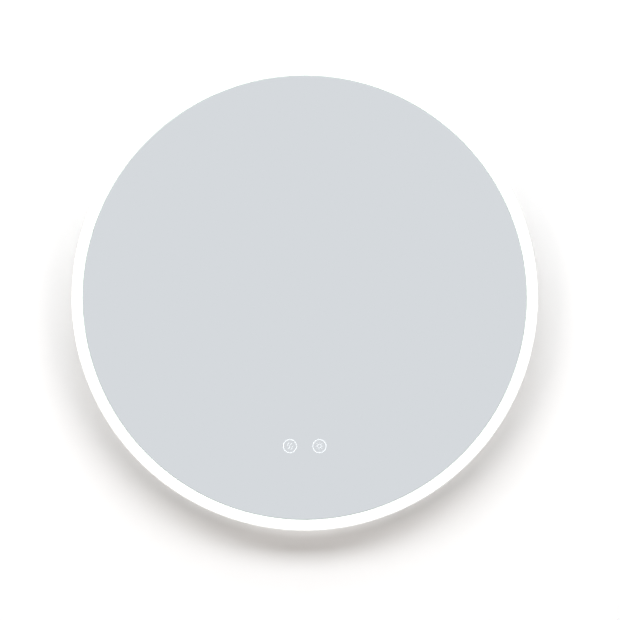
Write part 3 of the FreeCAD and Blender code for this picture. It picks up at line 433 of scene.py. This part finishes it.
FINISHES = {
    "mirror": mirror_face(),
    "ground_glass": ground_glass(),
    "backing_paint": backing_paint(),
    "safety_film": woven_film(),
    "foam_tape": foam("foam_tape", 232),
    "opal_acrylic": opal(),
    "lit_sign": lit_sign(),
    "channel_aluminium": rolled_aluminium(),
    "lamp_tape": lamp_circuit(),
    "lamp_package": lamp_body(),
    "coated_steel": powder_coat("powder_coat", srgb(222, 222, 219), srgb(216, 216, 214)),
    "zinc_steel": zinc_plate(),
    "rail_steel": galvanised(),
    "bumper_rubber": rubber("bumper_rubber", 38),
    "grommet_rubber": rubber("grommet_rubber", 28),
    "gasket_foam": foam("gasket_foam", 58),
    "white_plastic": moulded("white_plastic", srgb(226, 226, 221), srgb(218, 218, 212)),
    "black_plastic": moulded("black_plastic", srgb(26, 26, 27), srgb(34, 34, 35)),
    "natural_plastic": moulded(
        "natural_plastic", srgb(222, 218, 203), srgb(212, 207, 190), Subsurface_Weight=0.2
    ),
    "terminal_brass": brass(),
    "circuit_board": solder_mask(),
    "board_parts": moulded("ferrite", srgb(44, 44, 47), srgb(54, 54, 57)),
    "winding": moulded("winding_tape", srgb(206, 176, 56), srgb(196, 164, 48)),
    "capacitor": moulded("capacitor_sleeve", srgb(28, 36, 66), srgb(34, 44, 78)),
    "sink": rolled_aluminium(),
    "green_plastic": moulded("green_plastic", srgb(44, 122, 74), srgb(38, 112, 66)),
    "potting": potting(),
    "heater_film": heater(),
    "heater_foil": copper_foil(),
    "clear_acrylic": clear_acrylic(),
    "mains_sheath": sheath("mains_sheath", srgb(224, 224, 221), srgb(214, 214, 211)),
    "low_voltage_sheath": sheath("low_voltage_sheath", srgb(32, 32, 34), srgb(42, 42, 44)),
    "earth_sheath": earth_sheath(),
}


# ---- Helpers for forms ---------------------------------------------------------------------------

def round_solids(node):
    """(x, z, radius, lowest y, highest y) of each separate solid in a node of round pieces."""
    mesh = bmesh.new()
    mesh.from_mesh(NODES[node].data)
    bmesh.ops.remove_doubles(mesh, verts=mesh.verts, dist=SAME_PLACE)
    seen = set()
    found = []
    for start in mesh.verts:
        if start in seen:
            continue
        seen.add(start)
        reached = [start]
        for vertex in reached:
            for edge in vertex.link_edges:
                other = edge.other_vert(vertex)
                if other not in seen:
                    seen.add(other)
                    reached.append(other)
        xs, ys, zs = zip(*[vertex.co for vertex in reached])
        x = (min(xs) + max(xs)) / 2
        z = (min(zs) + max(zs)) / 2
        found.append((x, z, (max(xs) - min(xs)) / 2, min(ys), max(ys)))
    mesh.free()
    return found


def piece(name, mesh, finish, body="mirror", sharp=35.0):
    """An object from a bmesh, smooth but for its sharp edges, riding on a body."""
    for face in mesh.faces:
        face.smooth = True
    for edge in mesh.edges:
        edge.smooth = len(edge.link_faces) == 2 and edge.calc_face_angle() < math.radians(sharp)
    data = bpy.data.meshes.new(name)
    mesh.to_mesh(data)
    mesh.free()
    data.materials.append(FINISHES[finish].material)
    made = bpy.data.objects.new(name, data)
    bpy.context.scene.collection.objects.link(made)
    made.modifiers.new("normals", "WEIGHTED_NORMAL").keep_sharp = True
    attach(made, body)
    return made


def rounded(points, radii, steps=5):
    """A flat outline with its corners rounded. A radius of 0 keeps the corner."""
    outline = []
    count = len(points)
    for i, (point, radius) in enumerate(zip(points, radii)):
        corner = Vector(point)
        if radius == 0:
            outline.append(corner)
            continue
        into = (Vector(points[i - 1]) - corner).normalized()
        away = (Vector(points[(i + 1) % count]) - corner).normalized()
        half = into.angle(away) / 2
        back = radius / math.tan(half)
        middle = corner + (into + away).normalized() * (radius / math.sin(half))
        first = corner + into * back - middle
        last = corner + away * back - middle
        for k in range(steps + 1):
            outline.append(middle + (first * (1 - k / steps) + last * (k / steps)).normalized() * radius)
    return outline


def circle(x, z, radius, count):
    """(x, z) points round a middle."""
    angles = [2 * math.pi * k / count for k in range(count)]
    return [Vector((x + radius * math.cos(a), z + radius * math.sin(a))) for a in angles]


def lathe(mesh, outline, x, z, segments):
    """Adds a closed solid from a (radius, depth) outline turned about the depth axis through (x, z)."""
    rings = []
    for radius, y in outline:
        if radius == 0:
            rings.append([mesh.verts.new((x, y, z))] * segments)
        else:
            rings.append([mesh.verts.new((p.x, y, p.y)) for p in circle(x, z, radius, segments)])
    for ring, following in zip(rings, rings[1:] + rings[:1]):
        for k in range(segments):
            corners = [ring[k], ring[(k + 1) % segments], following[(k + 1) % segments], following[k]]
            corners = list(dict.fromkeys(corners))
            if len(corners) > 2:
                mesh.faces.new(corners)


def outward(mesh):
    """The same bmesh with every face turned outward."""
    bmesh.ops.recalc_face_normals(mesh, faces=mesh.faces)
    return mesh


def slot_shape(length, width, corner, steps=6):
    """A rounded rectangle about (0, 0) as (x, z) points."""
    half_x = length / 2
    half_z = width / 2
    corners = [(-half_x, -half_z), (half_x, -half_z), (half_x, half_z), (-half_x, half_z)]
    return rounded(corners, [corner] * 4, steps)


def stack(mesh, layers):
    """Adds a closed solid from outlines of equal point count, each a list of 3-D points."""
    rings = [[mesh.verts.new(point) for point in layer] for layer in layers]
    for ring, following in zip(rings, rings[1:]):
        for k in range(len(ring)):
            j = (k + 1) % len(ring)
            mesh.faces.new((ring[k], ring[j], following[j], following[k]))
    mesh.faces.new(rings[0])
    mesh.faces.new(rings[-1])


def combine(mesh, tool, operation):
    """The boolean of two bmeshes, as a new one. Both are used up."""
    made = []
    for source in (outward(mesh), outward(tool)):
        data = bpy.data.meshes.new("tool")
        source.to_mesh(data)
        source.free()
        made.append(bpy.data.objects.new("tool", data))
        bpy.context.scene.collection.objects.link(made[-1])
    modifier = made[0].modifiers.new("combine", "BOOLEAN")
    modifier.object = made[1]
    modifier.operation = operation
    modifier.solver = "EXACT"
    bpy.context.view_layer.update()
    result = bmesh.new()
    result.from_mesh(made[0].evaluated_get(bpy.context.evaluated_depsgraph_get()).to_mesh())
    for helper in made:
        data = helper.data
        bpy.data.objects.remove(helper)
        bpy.data.meshes.remove(data)
    return result


def dress(node, finish, edge):
    """Gives a CAD node its finish, and rounds its sharp edges by this much."""
    shown = NODES[node]
    shown.data.materials.clear()
    shown.data.materials.append(FINISHES[finish].material)
    if not edge:
        return
    for face in shown.data.polygons:
        face.use_smooth = True
    shown.modifiers.new("weld", "WELD").merge_threshold = SAME_PLACE
    whole = shown.modifiers.new("whole_faces", "DECIMATE")
    whole.decimate_type = "DISSOLVE"
    whole.angle_limit = FLAT_ANGLE
    bevel = shown.modifiers.new("edges", "BEVEL")
    bevel.width = edge
    bevel.segments = 2
    bevel.limit_method = "ANGLE"
    bevel.angle_limit = SHARP_ANGLE
    bevel.use_clamp_overlap = True
    shown.modifiers.new("normals", "WEIGHTED_NORMAL").keep_sharp = True


def paint_faces(node, finishes, rule):
    """Gives each face of a CAD node one of several finishes: rule(centre, normal) names it."""
    shown = NODES[node]
    shown.data.materials.clear()
    for finish in finishes:
        shown.data.materials.append(FINISHES[finish].material)
    for face in shown.data.polygons:
        face.material_index = finishes.index(rule(face.center, face.normal))


# ---- Front: glass and signs ----------------------------------------------------------------------

def mirror_glass():
    """Silvered face, ground arris and edge, painted back."""
    square_on = 0.99

    def part_of(centre, normal):
        if normal.y < -square_on:
            return "mirror"
        return "backing_paint" if normal.y > square_on else "ground_glass"

    paint_faces("mirror_glass", ["mirror", "ground_glass", "backing_paint"], part_of)


def ribbon(mesh, line, width, closed=False):
    """Adds a flat stroke along (x, z) points on the front of the glass."""
    count = len(line)
    sections = []
    for i, point in enumerate(line):
        before = line[i - 1] if i or closed else point
        after = line[(i + 1) % count] if i < count - 1 or closed else point
        along = (after - before).normalized()
        across = Vector((-along.y, along.x)) * (width / 2)
        corners = [(point - across, FRONT_Y), (point + across, FRONT_Y),
                   (point + across, FRONT_Y - SIGN_PROUD), (point - across, FRONT_Y - SIGN_PROUD)]
        sections.append([mesh.verts.new((p.x, y, p.y)) for p, y in corners])
    for here, there in zip(sections, sections[1:] + sections[:1] if closed else sections[1:]):
        for k in range(4):
            mesh.faces.new((here[k], here[(k + 1) % 4], there[(k + 1) % 4], there[k]))
    if not closed:
        mesh.faces.new(sections[0])
        mesh.faces.new(sections[-1])


def sign(name, x, strokes):
    """A lit ring with its symbol: each stroke is (points about the ring's middle, width, closed)."""
    z = CENTRE_Z - SIGN_DROP
    mesh = bmesh.new()
    for line, width, closed in [(circle(0, 0, SIGN_RING_R, SIGN_RING_STEPS), SIGN_LINE, True)] + strokes:
        part = bmesh.new()
        ribbon(part, [point + Vector((x, z)) for point in line], width, closed)
        data = bpy.data.meshes.new("stroke")
        part.to_mesh(data)
        part.free()
        mesh.from_mesh(data)
        bpy.data.meshes.remove(data)
    piece(name, outward(mesh), "lit_sign")


def demister_sign():
    """Three waves of warm air that lean to the right, the middle one the longest."""
    pitch = 3.4 * MM
    sway = 0.6 * MM
    steps = 20
    lean = math.radians(38)
    along = Vector((math.sin(lean), math.cos(lean)))
    across = Vector((along.y, -along.x))
    side_wave = (5.4 * MM, SIGN_FINE_LINE)
    middle_wave = (8.8 * MM, 0.8 * MM)
    strokes = []
    for middle, (length, width) in ((-pitch, side_wave), (0.0, middle_wave), (pitch, side_wave)):
        line = []
        for k in range(steps + 1):
            t = k / steps
            line.append(along * (length * (t - 0.5)) + across * (middle + sway * math.sin(2 * math.pi * t)))
        strokes.append((line, width, False))
    sign("demister_sign", -SIGN_SPACING / 2, strokes)


def light_sign():
    """A small sun: a ring with its rays."""
    ring_r = 2.3 * MM
    ray_from = 3.5 * MM
    ray_to = 4.9 * MM
    rays = 8
    steps = 32
    strokes = [(circle(0, 0, ring_r, steps), SIGN_FINE_LINE, True)]
    for k in range(rays):
        angle = 2 * math.pi * k / rays
        along = Vector((math.cos(angle), math.sin(angle)))
        strokes.append(([along * ray_from, along * ray_to], SIGN_FINE_LINE, False))
    sign("light_sign", SIGN_SPACING / 2, strokes)


# ---- Back: formed pan ----------------------------------------------------------------------------

def bead_layers(x, z, length, width, back):
    """Outlines of a pressed rib, from its foot just inside the sheet to its top, with a soft slope."""
    steps = 7
    flat_end = 0.05 * MM
    layers = []
    for k in range(-1, steps + 1):
        t = max(k, 0) / steps
        height = BEAD_RAISE * t * t * (3 - 2 * t) if k >= 0 else -BEAD_ROOT
        inset = 2 * BEAD_SLOPE * t
        corner = (min(length, width) - inset) / 2 - flat_end
        outline = slot_shape(length - inset, width - inset, corner)
        layers.append([(x + p.x, back + height, z + p.y) for p in outline])
    return layers


def pan_cuts():
    """The vent slots and the service opening, as one tool that runs through the sheet."""
    through = (RING_HIGH.y - SHEET, PAN_HIGH.y + SHEET)
    vent = slot_shape(VENT_LENGTH, VENT_WIDTH, VENT_CORNER)
    shapes = []
    for side in (90, 270):
        for k in range(VENTS_PER_GROUP):
            angle = math.radians(side + (k - (VENTS_PER_GROUP - 1) / 2) * VENT_PITCH_DEG)
            along = Vector((math.cos(angle), math.sin(angle)))
            across = Vector((-along.y, along.x))
            shapes.append([along * (VENT_MIDDLE_R + p.x) + across * p.y for p in vent])
    opening = slot_shape(SERVICE_WIDTH, SERVICE_HEIGHT, SERVICE_CORNER, steps=3)
    shapes.append([p + Vector((0, SERVICE_RISE)) for p in opening])
    cuts = bmesh.new()
    for shape in shapes:
        stack(cuts, [[(p.x, y, CENTRE_Z + p.y) for p in shape] for y in through])
    return cuts


def pan_shell():
    """Drawn sheet with a soft shoulder, pressed ribs, vent slots and the service opening."""
    bend = PAN_BEND_R
    cut_edge = 0.1 * MM
    rolled_edge = 0.35 * MM
    outline = rounded(
        [
            (0, PAN_BACK - SHEET),
            (PAN_TOP_R - SHEET / 2, PAN_BACK - SHEET),
            (PAN_SHOULDER_R - SHEET / 2, RING_HIGH.y),
            (PAN_HIGH.x, RING_HIGH.y),
            (PAN_HIGH.x, PAN_RIM_BACK),
            (PAN_SHOULDER_R, PAN_RIM_BACK),
            (PAN_TOP_R, PAN_BACK),
            (0, PAN_BACK),
        ],
        [0, bend, bend + SHEET, cut_edge, rolled_edge, bend, bend + SHEET, 0],
    )
    pan = bmesh.new()
    lathe(pan, outline, 0, CENTRE_Z, PAN_SEGMENTS)
    beads = [
        (-SIDE_BEAD_X, CENTRE_Z, BEAD_WIDTH, BEAD_LENGTH),
        (SIDE_BEAD_X, CENTRE_Z, BEAD_WIDTH, BEAD_LENGTH),
        (0, CENTRE_Z - LOW_BEAD_DROP, BEAD_LENGTH, BEAD_WIDTH),
    ]
    for side, operation in ((PAN_BACK, "UNION"), (PAN_BACK - SHEET, "DIFFERENCE")):
        tool = bmesh.new()
        for x, z, length, width in beads:
            stack(tool, bead_layers(x, z, length, width, side))
        pan = combine(pan, tool, operation)
    pan = combine(pan, pan_cuts(), "DIFFERENCE")
    shell = piece("pan_shell", pan, "coated_steel", sharp=28.0)
    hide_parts("back_pan")


# ---- Fasteners and rubber ------------------------------------------------------------------------

def cross_recess(mesh, x, z, top, size):
    """Adds the tapered cross that a screwdriver fits."""
    arm_half_width = size * 0.17
    mouth = (top + 0.3 * MM, 1.15)
    bottom = (top - 0.55 * size, 0.45)
    layers = []
    for y, share in (mouth, bottom):
        reach = size * share
        half = arm_half_width * (0.6 + 0.4 * share)
        arm = [(reach, -half), (reach, half), (half, half)]
        layer = []
        for _ in range(4):
            layer += [(x + a, y, z + b) for a, b in arm]
            arm = [(-b, a) for a, b in arm]
        layers.append(layer)
    stack(mesh, layers)


def screws(node, shank_share):
    """Pan-headed screws with a cross recess and a threaded shank, one for each solid of the node."""
    dome = [math.radians(15 * k) for k in range(1, 7)]
    chamfer_in, chamfer_up = 0.1 * MM, 0.05 * MM
    mesh = bmesh.new()
    recesses = bmesh.new()
    for x, z, head_r, tip, top in round_solids(node):
        shank_r = head_r * shank_share
        thread_root_r = shank_r * 0.8
        tip_r = shank_r * 0.75
        head = head_r * SCREW_HEAD_SHARE
        rim = head * 0.3
        seat = top - head
        outline = [(0, top)]
        outline += [(head_r * math.sin(a), seat + rim + (head - rim) * math.cos(a)) for a in dome]
        outline += [(head_r, seat + chamfer_up), (head_r - chamfer_in, seat), (shank_r, seat)]
        y = seat
        while y - SCREW_PITCH > tip + SCREW_POINT:
            outline += [(thread_root_r, y - SCREW_PITCH / 2), (shank_r, y - SCREW_PITCH)]
            y -= SCREW_PITCH
        outline += [(tip_r, tip + SCREW_POINT / 2), (0, tip)]
        lathe(mesh, outline, x, z, FASTENER_SEGMENTS)
        cross_recess(recesses, x, z, top, head_r * SCREW_RECESS_SHARE)
    made = combine(mesh, recesses, "DIFFERENCE")
    shown = piece(node + "_turned", made, "zinc_steel", sharp=40.0)
    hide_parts(node)


def rivets():
    """Blind rivets: low domed head with the mark of the broken mandrel, and the set head inside."""
    hole_r = 1.1 * MM
    body_r = 2.0 * MM
    set_r = 3.0 * MM
    mesh = bmesh.new()
    for x, z, head_r, inside, top in round_solids("hanger_rivets"):
        seat = top - 1.3 * MM
        outline = [
            (0, top - 0.9 * MM),
            (hole_r, top - 0.8 * MM),
            (hole_r, top - 0.15 * MM),
            (hole_r + 0.2 * MM, top),
            (head_r * 0.6, top - 0.15 * MM),
            (head_r * 0.85, top - 0.5 * MM),
            (head_r * 0.98, top - 0.95 * MM),
            (head_r, seat),
            (body_r, seat),
            (body_r, inside + 2.5 * MM),
            (set_r, inside + 2.2 * MM),
            (set_r, inside + 0.8 * MM),
            (body_r + 0.2 * MM, inside),
            (0, inside),
        ]
        lathe(mesh, outline, x, z, FASTENER_SEGMENTS)
    shown = piece("rivets_set", outward(mesh), "zinc_steel")
    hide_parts("hanger_rivets")


def bumpers():
    """Soft buffers with a rounded face and a shallow dish in the middle."""
    dish = 0.6 * MM
    radii = [0, 0.4 * MM, 2.2 * MM, 0.4 * MM, 0.3 * MM, 0]
    mesh = bmesh.new()
    for x, z, r, foot, top in round_solids("wall_bumpers"):
        points = [(0, foot), (r, foot), (r, top), (0.5 * r, top), (0.4 * r, top - dish), (0, top - dish)]
        lathe(mesh, rounded(points, radii), x, z, BUMPER_SEGMENTS)
    shown = piece("bumpers_moulded", outward(mesh), "bumper_rubber")
    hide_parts("wall_bumpers")


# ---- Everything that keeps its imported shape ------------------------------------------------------

# The finish of each node, and how far its edges are rounded, in millimetres.
FINISH_AND_EDGE = {
    "diffuser_ring": ("opal_acrylic", 0.25),
    "led_channel": ("channel_aluminium", 0.2),
    "led_tape": ("lamp_tape", 0.0),
    "led_packages": ("lamp_package", 0.15),
    "safety_film": ("safety_film", 0.0),
    "glass_tape_pads": ("foam_tape", 0.12),
    "wall_cleat": ("rail_steel", 0.3),
    "hanger_rail": ("rail_steel", 0.3),
    "terminal_tray": ("white_plastic", 0.3),
    "terminal_block": ("natural_plastic", 0.3),
    "terminal_clamps": ("terminal_brass", 0.15),
    "terminal_screws": ("zinc_steel", 0.15),
    "cord_clamp": ("black_plastic", 0.5),
    "cord_clamp_screws": ("zinc_steel", 0.3),
    "service_gasket": ("gasket_foam", 0.15),
    "service_cover": ("coated_steel", 0.35),
    "cable_grommet": ("grommet_rubber", 0.5),
    "earth_stud": ("zinc_steel", 0.3),
    "earth_tag": ("terminal_brass", 0.2),
    "earth_nut": ("zinc_steel", 0.3),
    "driver_case": ("white_plastic", 0.5),
    "driver_lid": ("white_plastic", 0.5),
    "driver_board": ("circuit_board", 0.1),
    "control_module": ("potting", 0.4),
    "demister_pad": ("heater_film", 0.0),
    "demister_terminals": ("heater_foil", 0.1),
    "demister_touch_housing": ("black_plastic", 0.4),
    "demister_touch_lens": ("clear_acrylic", 0.2),
    "demister_touch_board": ("circuit_board", 0.1),
    "light_touch_housing": ("black_plastic", 0.4),
    "light_touch_lens": ("clear_acrylic", 0.2),
    "light_touch_board": ("circuit_board", 0.1),
    "mains_lead": ("mains_sheath", 1.6),
    "heater_feed_lead": ("mains_sheath", 1.6),
    "driver_lead": ("low_voltage_sheath", 1.0),
    "light_tape_lead": ("low_voltage_sheath", 1.0),
    "demister_touch_lead": ("low_voltage_sheath", 1.0),
    "light_touch_lead": ("low_voltage_sheath", 1.0),
    "heater_lead": ("low_voltage_sheath", 1.0),
    "earth_wire": ("earth_sheath", 1.0),
    "lead_clips": ("natural_plastic", 0.3),
}


def driver_parts():
    """Each part on the driver's board in its own finish, told by where it stands, in millimetres."""
    plugs_from = 60.0
    sink_to = -45.0
    capacitors_from, capacitors_to = 25.0, 45.0
    coil_x, coil_half_length = 4.0, 9.1
    coil_v, coil_half_width = -40.0, 11.1

    def part_of(centre, normal):
        x = centre.x / MM
        v = (centre.z - CENTRE_Z) / MM
        if abs(x) > plugs_from:
            return "green_plastic"
        if x < sink_to:
            return "sink"
        if capacitors_from < abs(x) < capacitors_to:
            return "capacitor"
        in_coil = abs(x - coil_x) < coil_half_length and abs(v - coil_v) < coil_half_width
        faces_the_end = abs(normal.x) > 0.5
        if in_coil and not faces_the_end:
            return "winding"
        return "board_parts"

    finishes = ["board_parts", "green_plastic", "sink", "capacitor", "winding"]
    paint_faces("driver_components", finishes, part_of)


# ---- Stage, light, camera ------------------------------------------------------------------------

def plain_sheet(name, corners):
    """A flat piece of the stage from its four corners."""
    data = bpy.data.meshes.new(name)
    data.from_pydata(corners, [], [(0, 1, 2, 3)])
    made = bpy.data.objects.new(name, data)
    bpy.context.scene.collection.objects.link(made)
    return made


def soft_range(tree, value, start, end, low, high):
    """Goes softly from low to high as the value goes from start to end."""
    inputs = {"Value": value, "From Min": start, "From Max": end, "To Min": low, "To Max": high}
    return add_node(tree, "ShaderNodeMapRange", inputs, interpolation_type="SMOOTHSTEP").outputs[0]


def wall():
    """White wall with painted light: emission makes it paler away from the mirror and paints the lit ring's
    glow beside it. It shows the shadow and can't be seen from behind.
    """
    low = [(-WALL_REACH, WALL_Y, FLOOR_Z), (WALL_REACH, WALL_Y, FLOOR_Z)]
    high = [(WALL_REACH, WALL_Y, WALL_TOP), (-WALL_REACH, WALL_Y, WALL_TOP)]
    made = plain_sheet("wall", low + high)
    made.visible_shadow = False
    made.visible_diffuse = False
    made.visible_glossy = False
    made.visible_transmission = False
    material = bpy.data.materials.new("wall_paint_and_painted_light")
    material.use_nodes = True
    tree = material.node_tree
    tree.nodes.clear()
    place = add_node(tree, "ShaderNodeTexCoord").outputs["Object"]
    from_middle = {0: place, 1: (0, 0, CENTRE_Z)}
    offset = add_node(tree, "ShaderNodeVectorMath", from_middle, operation="SUBTRACT").outputs[0]
    away = add_node(tree, "ShaderNodeVectorMath", {0: offset}, operation="LENGTH").outputs["Value"]
    direction = add_node(tree, "ShaderNodeVectorMath", {0: offset}, operation="NORMALIZE").outputs[0]
    upright = add_node(tree, "ShaderNodeSeparateXYZ", {0: direction}).outputs["Z"]
    squared = add_node(tree, "ShaderNodeMath", {0: upright, 1: upright}, operation="MULTIPLY").outputs[0]
    # Painted light: emission that makes the wall paler away from the mirror
    lift = soft_range(tree, away, WALL_PAINTED_LIFT_FROM, WALL_PAINTED_LIFT_TO, 0.0, WALL_PAINTED_LIFT)
    # Painted glow: emission beside the lit ring that stands in for its light on the wall, strongest below it
    # and none at its sides
    painted_glow = soft_range(tree, away, RING_R, WALL_PAINTED_GLOW_TO, WALL_PAINTED_GLOW, 0.0)
    painted_glow_and_lift = {0: painted_glow, 1: squared, 2: lift}
    strength = add_node(tree, "ShaderNodeMath", painted_glow_and_lift, operation="MULTIPLY_ADD").outputs[0]
    paint = add_node(tree, "ShaderNodeBsdfDiffuse", {"Color": WALL_COLOUR}).outputs[0]
    glow = add_node(tree, "ShaderNodeEmission", {"Strength": strength}).outputs[0]
    front = add_node(tree, "ShaderNodeAddShader", {0: paint, 1: glow}).outputs[0]
    clear = add_node(tree, "ShaderNodeBsdfTransparent").outputs[0]
    behind = add_node(tree, "ShaderNodeNewGeometry").outputs["Backfacing"]
    choice = add_node(tree, "ShaderNodeMixShader", {0: behind, 1: front, 2: clear}).outputs[0]
    add_node(tree, "ShaderNodeOutputMaterial", {"Surface": choice})
    made.data.materials.append(material)


def floor():
    """Pale floor, far below. It shows near white to the camera and gives the object little light."""
    square = ((-1, -1), (1, -1), (1, 1), (-1, 1))
    made = plain_sheet("floor", [(FLOOR_REACH * a, FLOOR_REACH * b, FLOOR_Z) for a, b in square])
    made.visible_glossy = False
    paint = Finish("floor_paint", srgb(196, 195, 193), 0.8, Emission_Strength=1.0)
    shown = paint.node("ShaderNodeLightPath").outputs["Is Camera Ray"]
    paint.link(paint.blend(shown, (0, 0, 0, 1), FLOOR_GLOW), "Emission Color")
    made.data.materials.append(paint.material)


def area_light(name, place, size, power, colour):
    """A soft light, width and height given, that faces the middle of the mirror."""
    data = bpy.data.lights.new(name, "AREA")
    data.color = colour
    data.shape = "RECTANGLE"
    data.size, data.size_y = size
    data.energy = power
    made = bpy.data.objects.new(name, data)
    made.location = place
    made.rotation_euler = (Vector((0, 0, CENTRE_Z)) - place).to_track_quat("-Z", "Y").to_euler()
    bpy.context.scene.collection.objects.link(made)
    return made


def lamps():
    """A long key above and a fill at each side, in front, and a light for the back."""
    front = [area_light("key", KEY_PLACE, KEY_SIZE, KEY_POWER, KEY_COLOUR)]
    front += [area_light("fill", place, FILL_SIZE, FILL_POWER, FILL_COLOUR) for place in FILL_PLACES]
    for light in front:
        light.visible_glossy = False       # the glass shows the plain studio and no lamp
    area_light("back_light", BACK_PLACE, BACK_SIZE, BACK_POWER, BACK_COLOUR)


def world():
    """Even soft light. What shows directly, in the glass and in metal is white, and greyer from below."""
    made = bpy.data.worlds.new("studio")
    bpy.context.scene.world = made
    made.use_nodes = True
    tree = made.node_tree
    tree.nodes.clear()

    def combined(operation, first, second):
        return add_node(tree, "ShaderNodeMath", {0: first, 1: second}, operation=operation).outputs[0]

    def background(strength):
        white = {"Color": (1, 1, 1, 1), "Strength": strength}
        return add_node(tree, "ShaderNodeBackground", white).outputs[0]

    def choice(factor, without, with_it):
        return add_node(tree, "ShaderNodeMixShader", {0: factor, 1: without, 2: with_it}).outputs[0]

    direction = add_node(tree, "ShaderNodeTexCoord").outputs["Generated"]
    height = add_node(tree, "ShaderNodeSeparateXYZ", {0: direction}).outputs["Z"]
    mirrored = soft_range(tree, height, MIRRORED_LOW, MIRRORED_HIGH, MIRRORED_GREY, 1.0)
    ray = add_node(tree, "ShaderNodeLightPath").outputs
    not_diffused = combined("LESS_THAN", ray["Diffuse Depth"], 0.5)
    in_gloss = combined("MULTIPLY", ray["Is Glossy Ray"], not_diffused)
    direct = combined("MAXIMUM", ray["Is Camera Ray"], ray["Is Transmission Ray"])
    lit = choice(in_gloss, background(WORLD_LEVEL), background(mirrored))
    add_node(tree, "ShaderNodeOutputWorld", {"Surface": choice(direct, lit, background(1.0))})


def camera():
    """Straight on. In the photograph's square frame the mirror is a little left of and above the middle."""
    metres_per_px = RING_R / PHOTO_MIRROR_R_PX
    middle = PHOTO_SIDE_PX / 2
    x = (middle - PHOTO_MIRROR_X_PX) * metres_per_px
    z = CENTRE_Z - (middle - PHOTO_MIRROR_Y_PX) * metres_per_px
    data = bpy.data.cameras.new("camera")
    data.sensor_fit = "HORIZONTAL"
    data.sensor_width = SENSOR_WIDTH
    data.lens = SENSOR_WIDTH * CAMERA_DISTANCE / (PHOTO_SIDE_PX * metres_per_px)
    made = bpy.data.objects.new("camera", data)
    made.location = (x, FRONT_Y - CAMERA_DISTANCE, z)
    made.rotation_euler = (math.pi / 2, 0, 0)
    bpy.context.scene.collection.objects.link(made)
    bpy.context.scene.camera = made


# ---- Build ---------------------------------------------------------------------------------------

mirror_glass()
demister_sign()
light_sign()
pan_shell()
screws("pan_screws", shank_share=0.45)
screws("cover_screws", shank_share=0.45)
screws("driver_screws", shank_share=0.5)
rivets()
bumpers()
for node, (finish, edge) in FINISH_AND_EDGE.items():
    dress(node, finish, edge * MM)
driver_parts()

wall()
floor()
lamps()
world()
camera()
bpy.context.scene.view_settings.view_transform = "Standard"

bpy.context.view_layer.update()
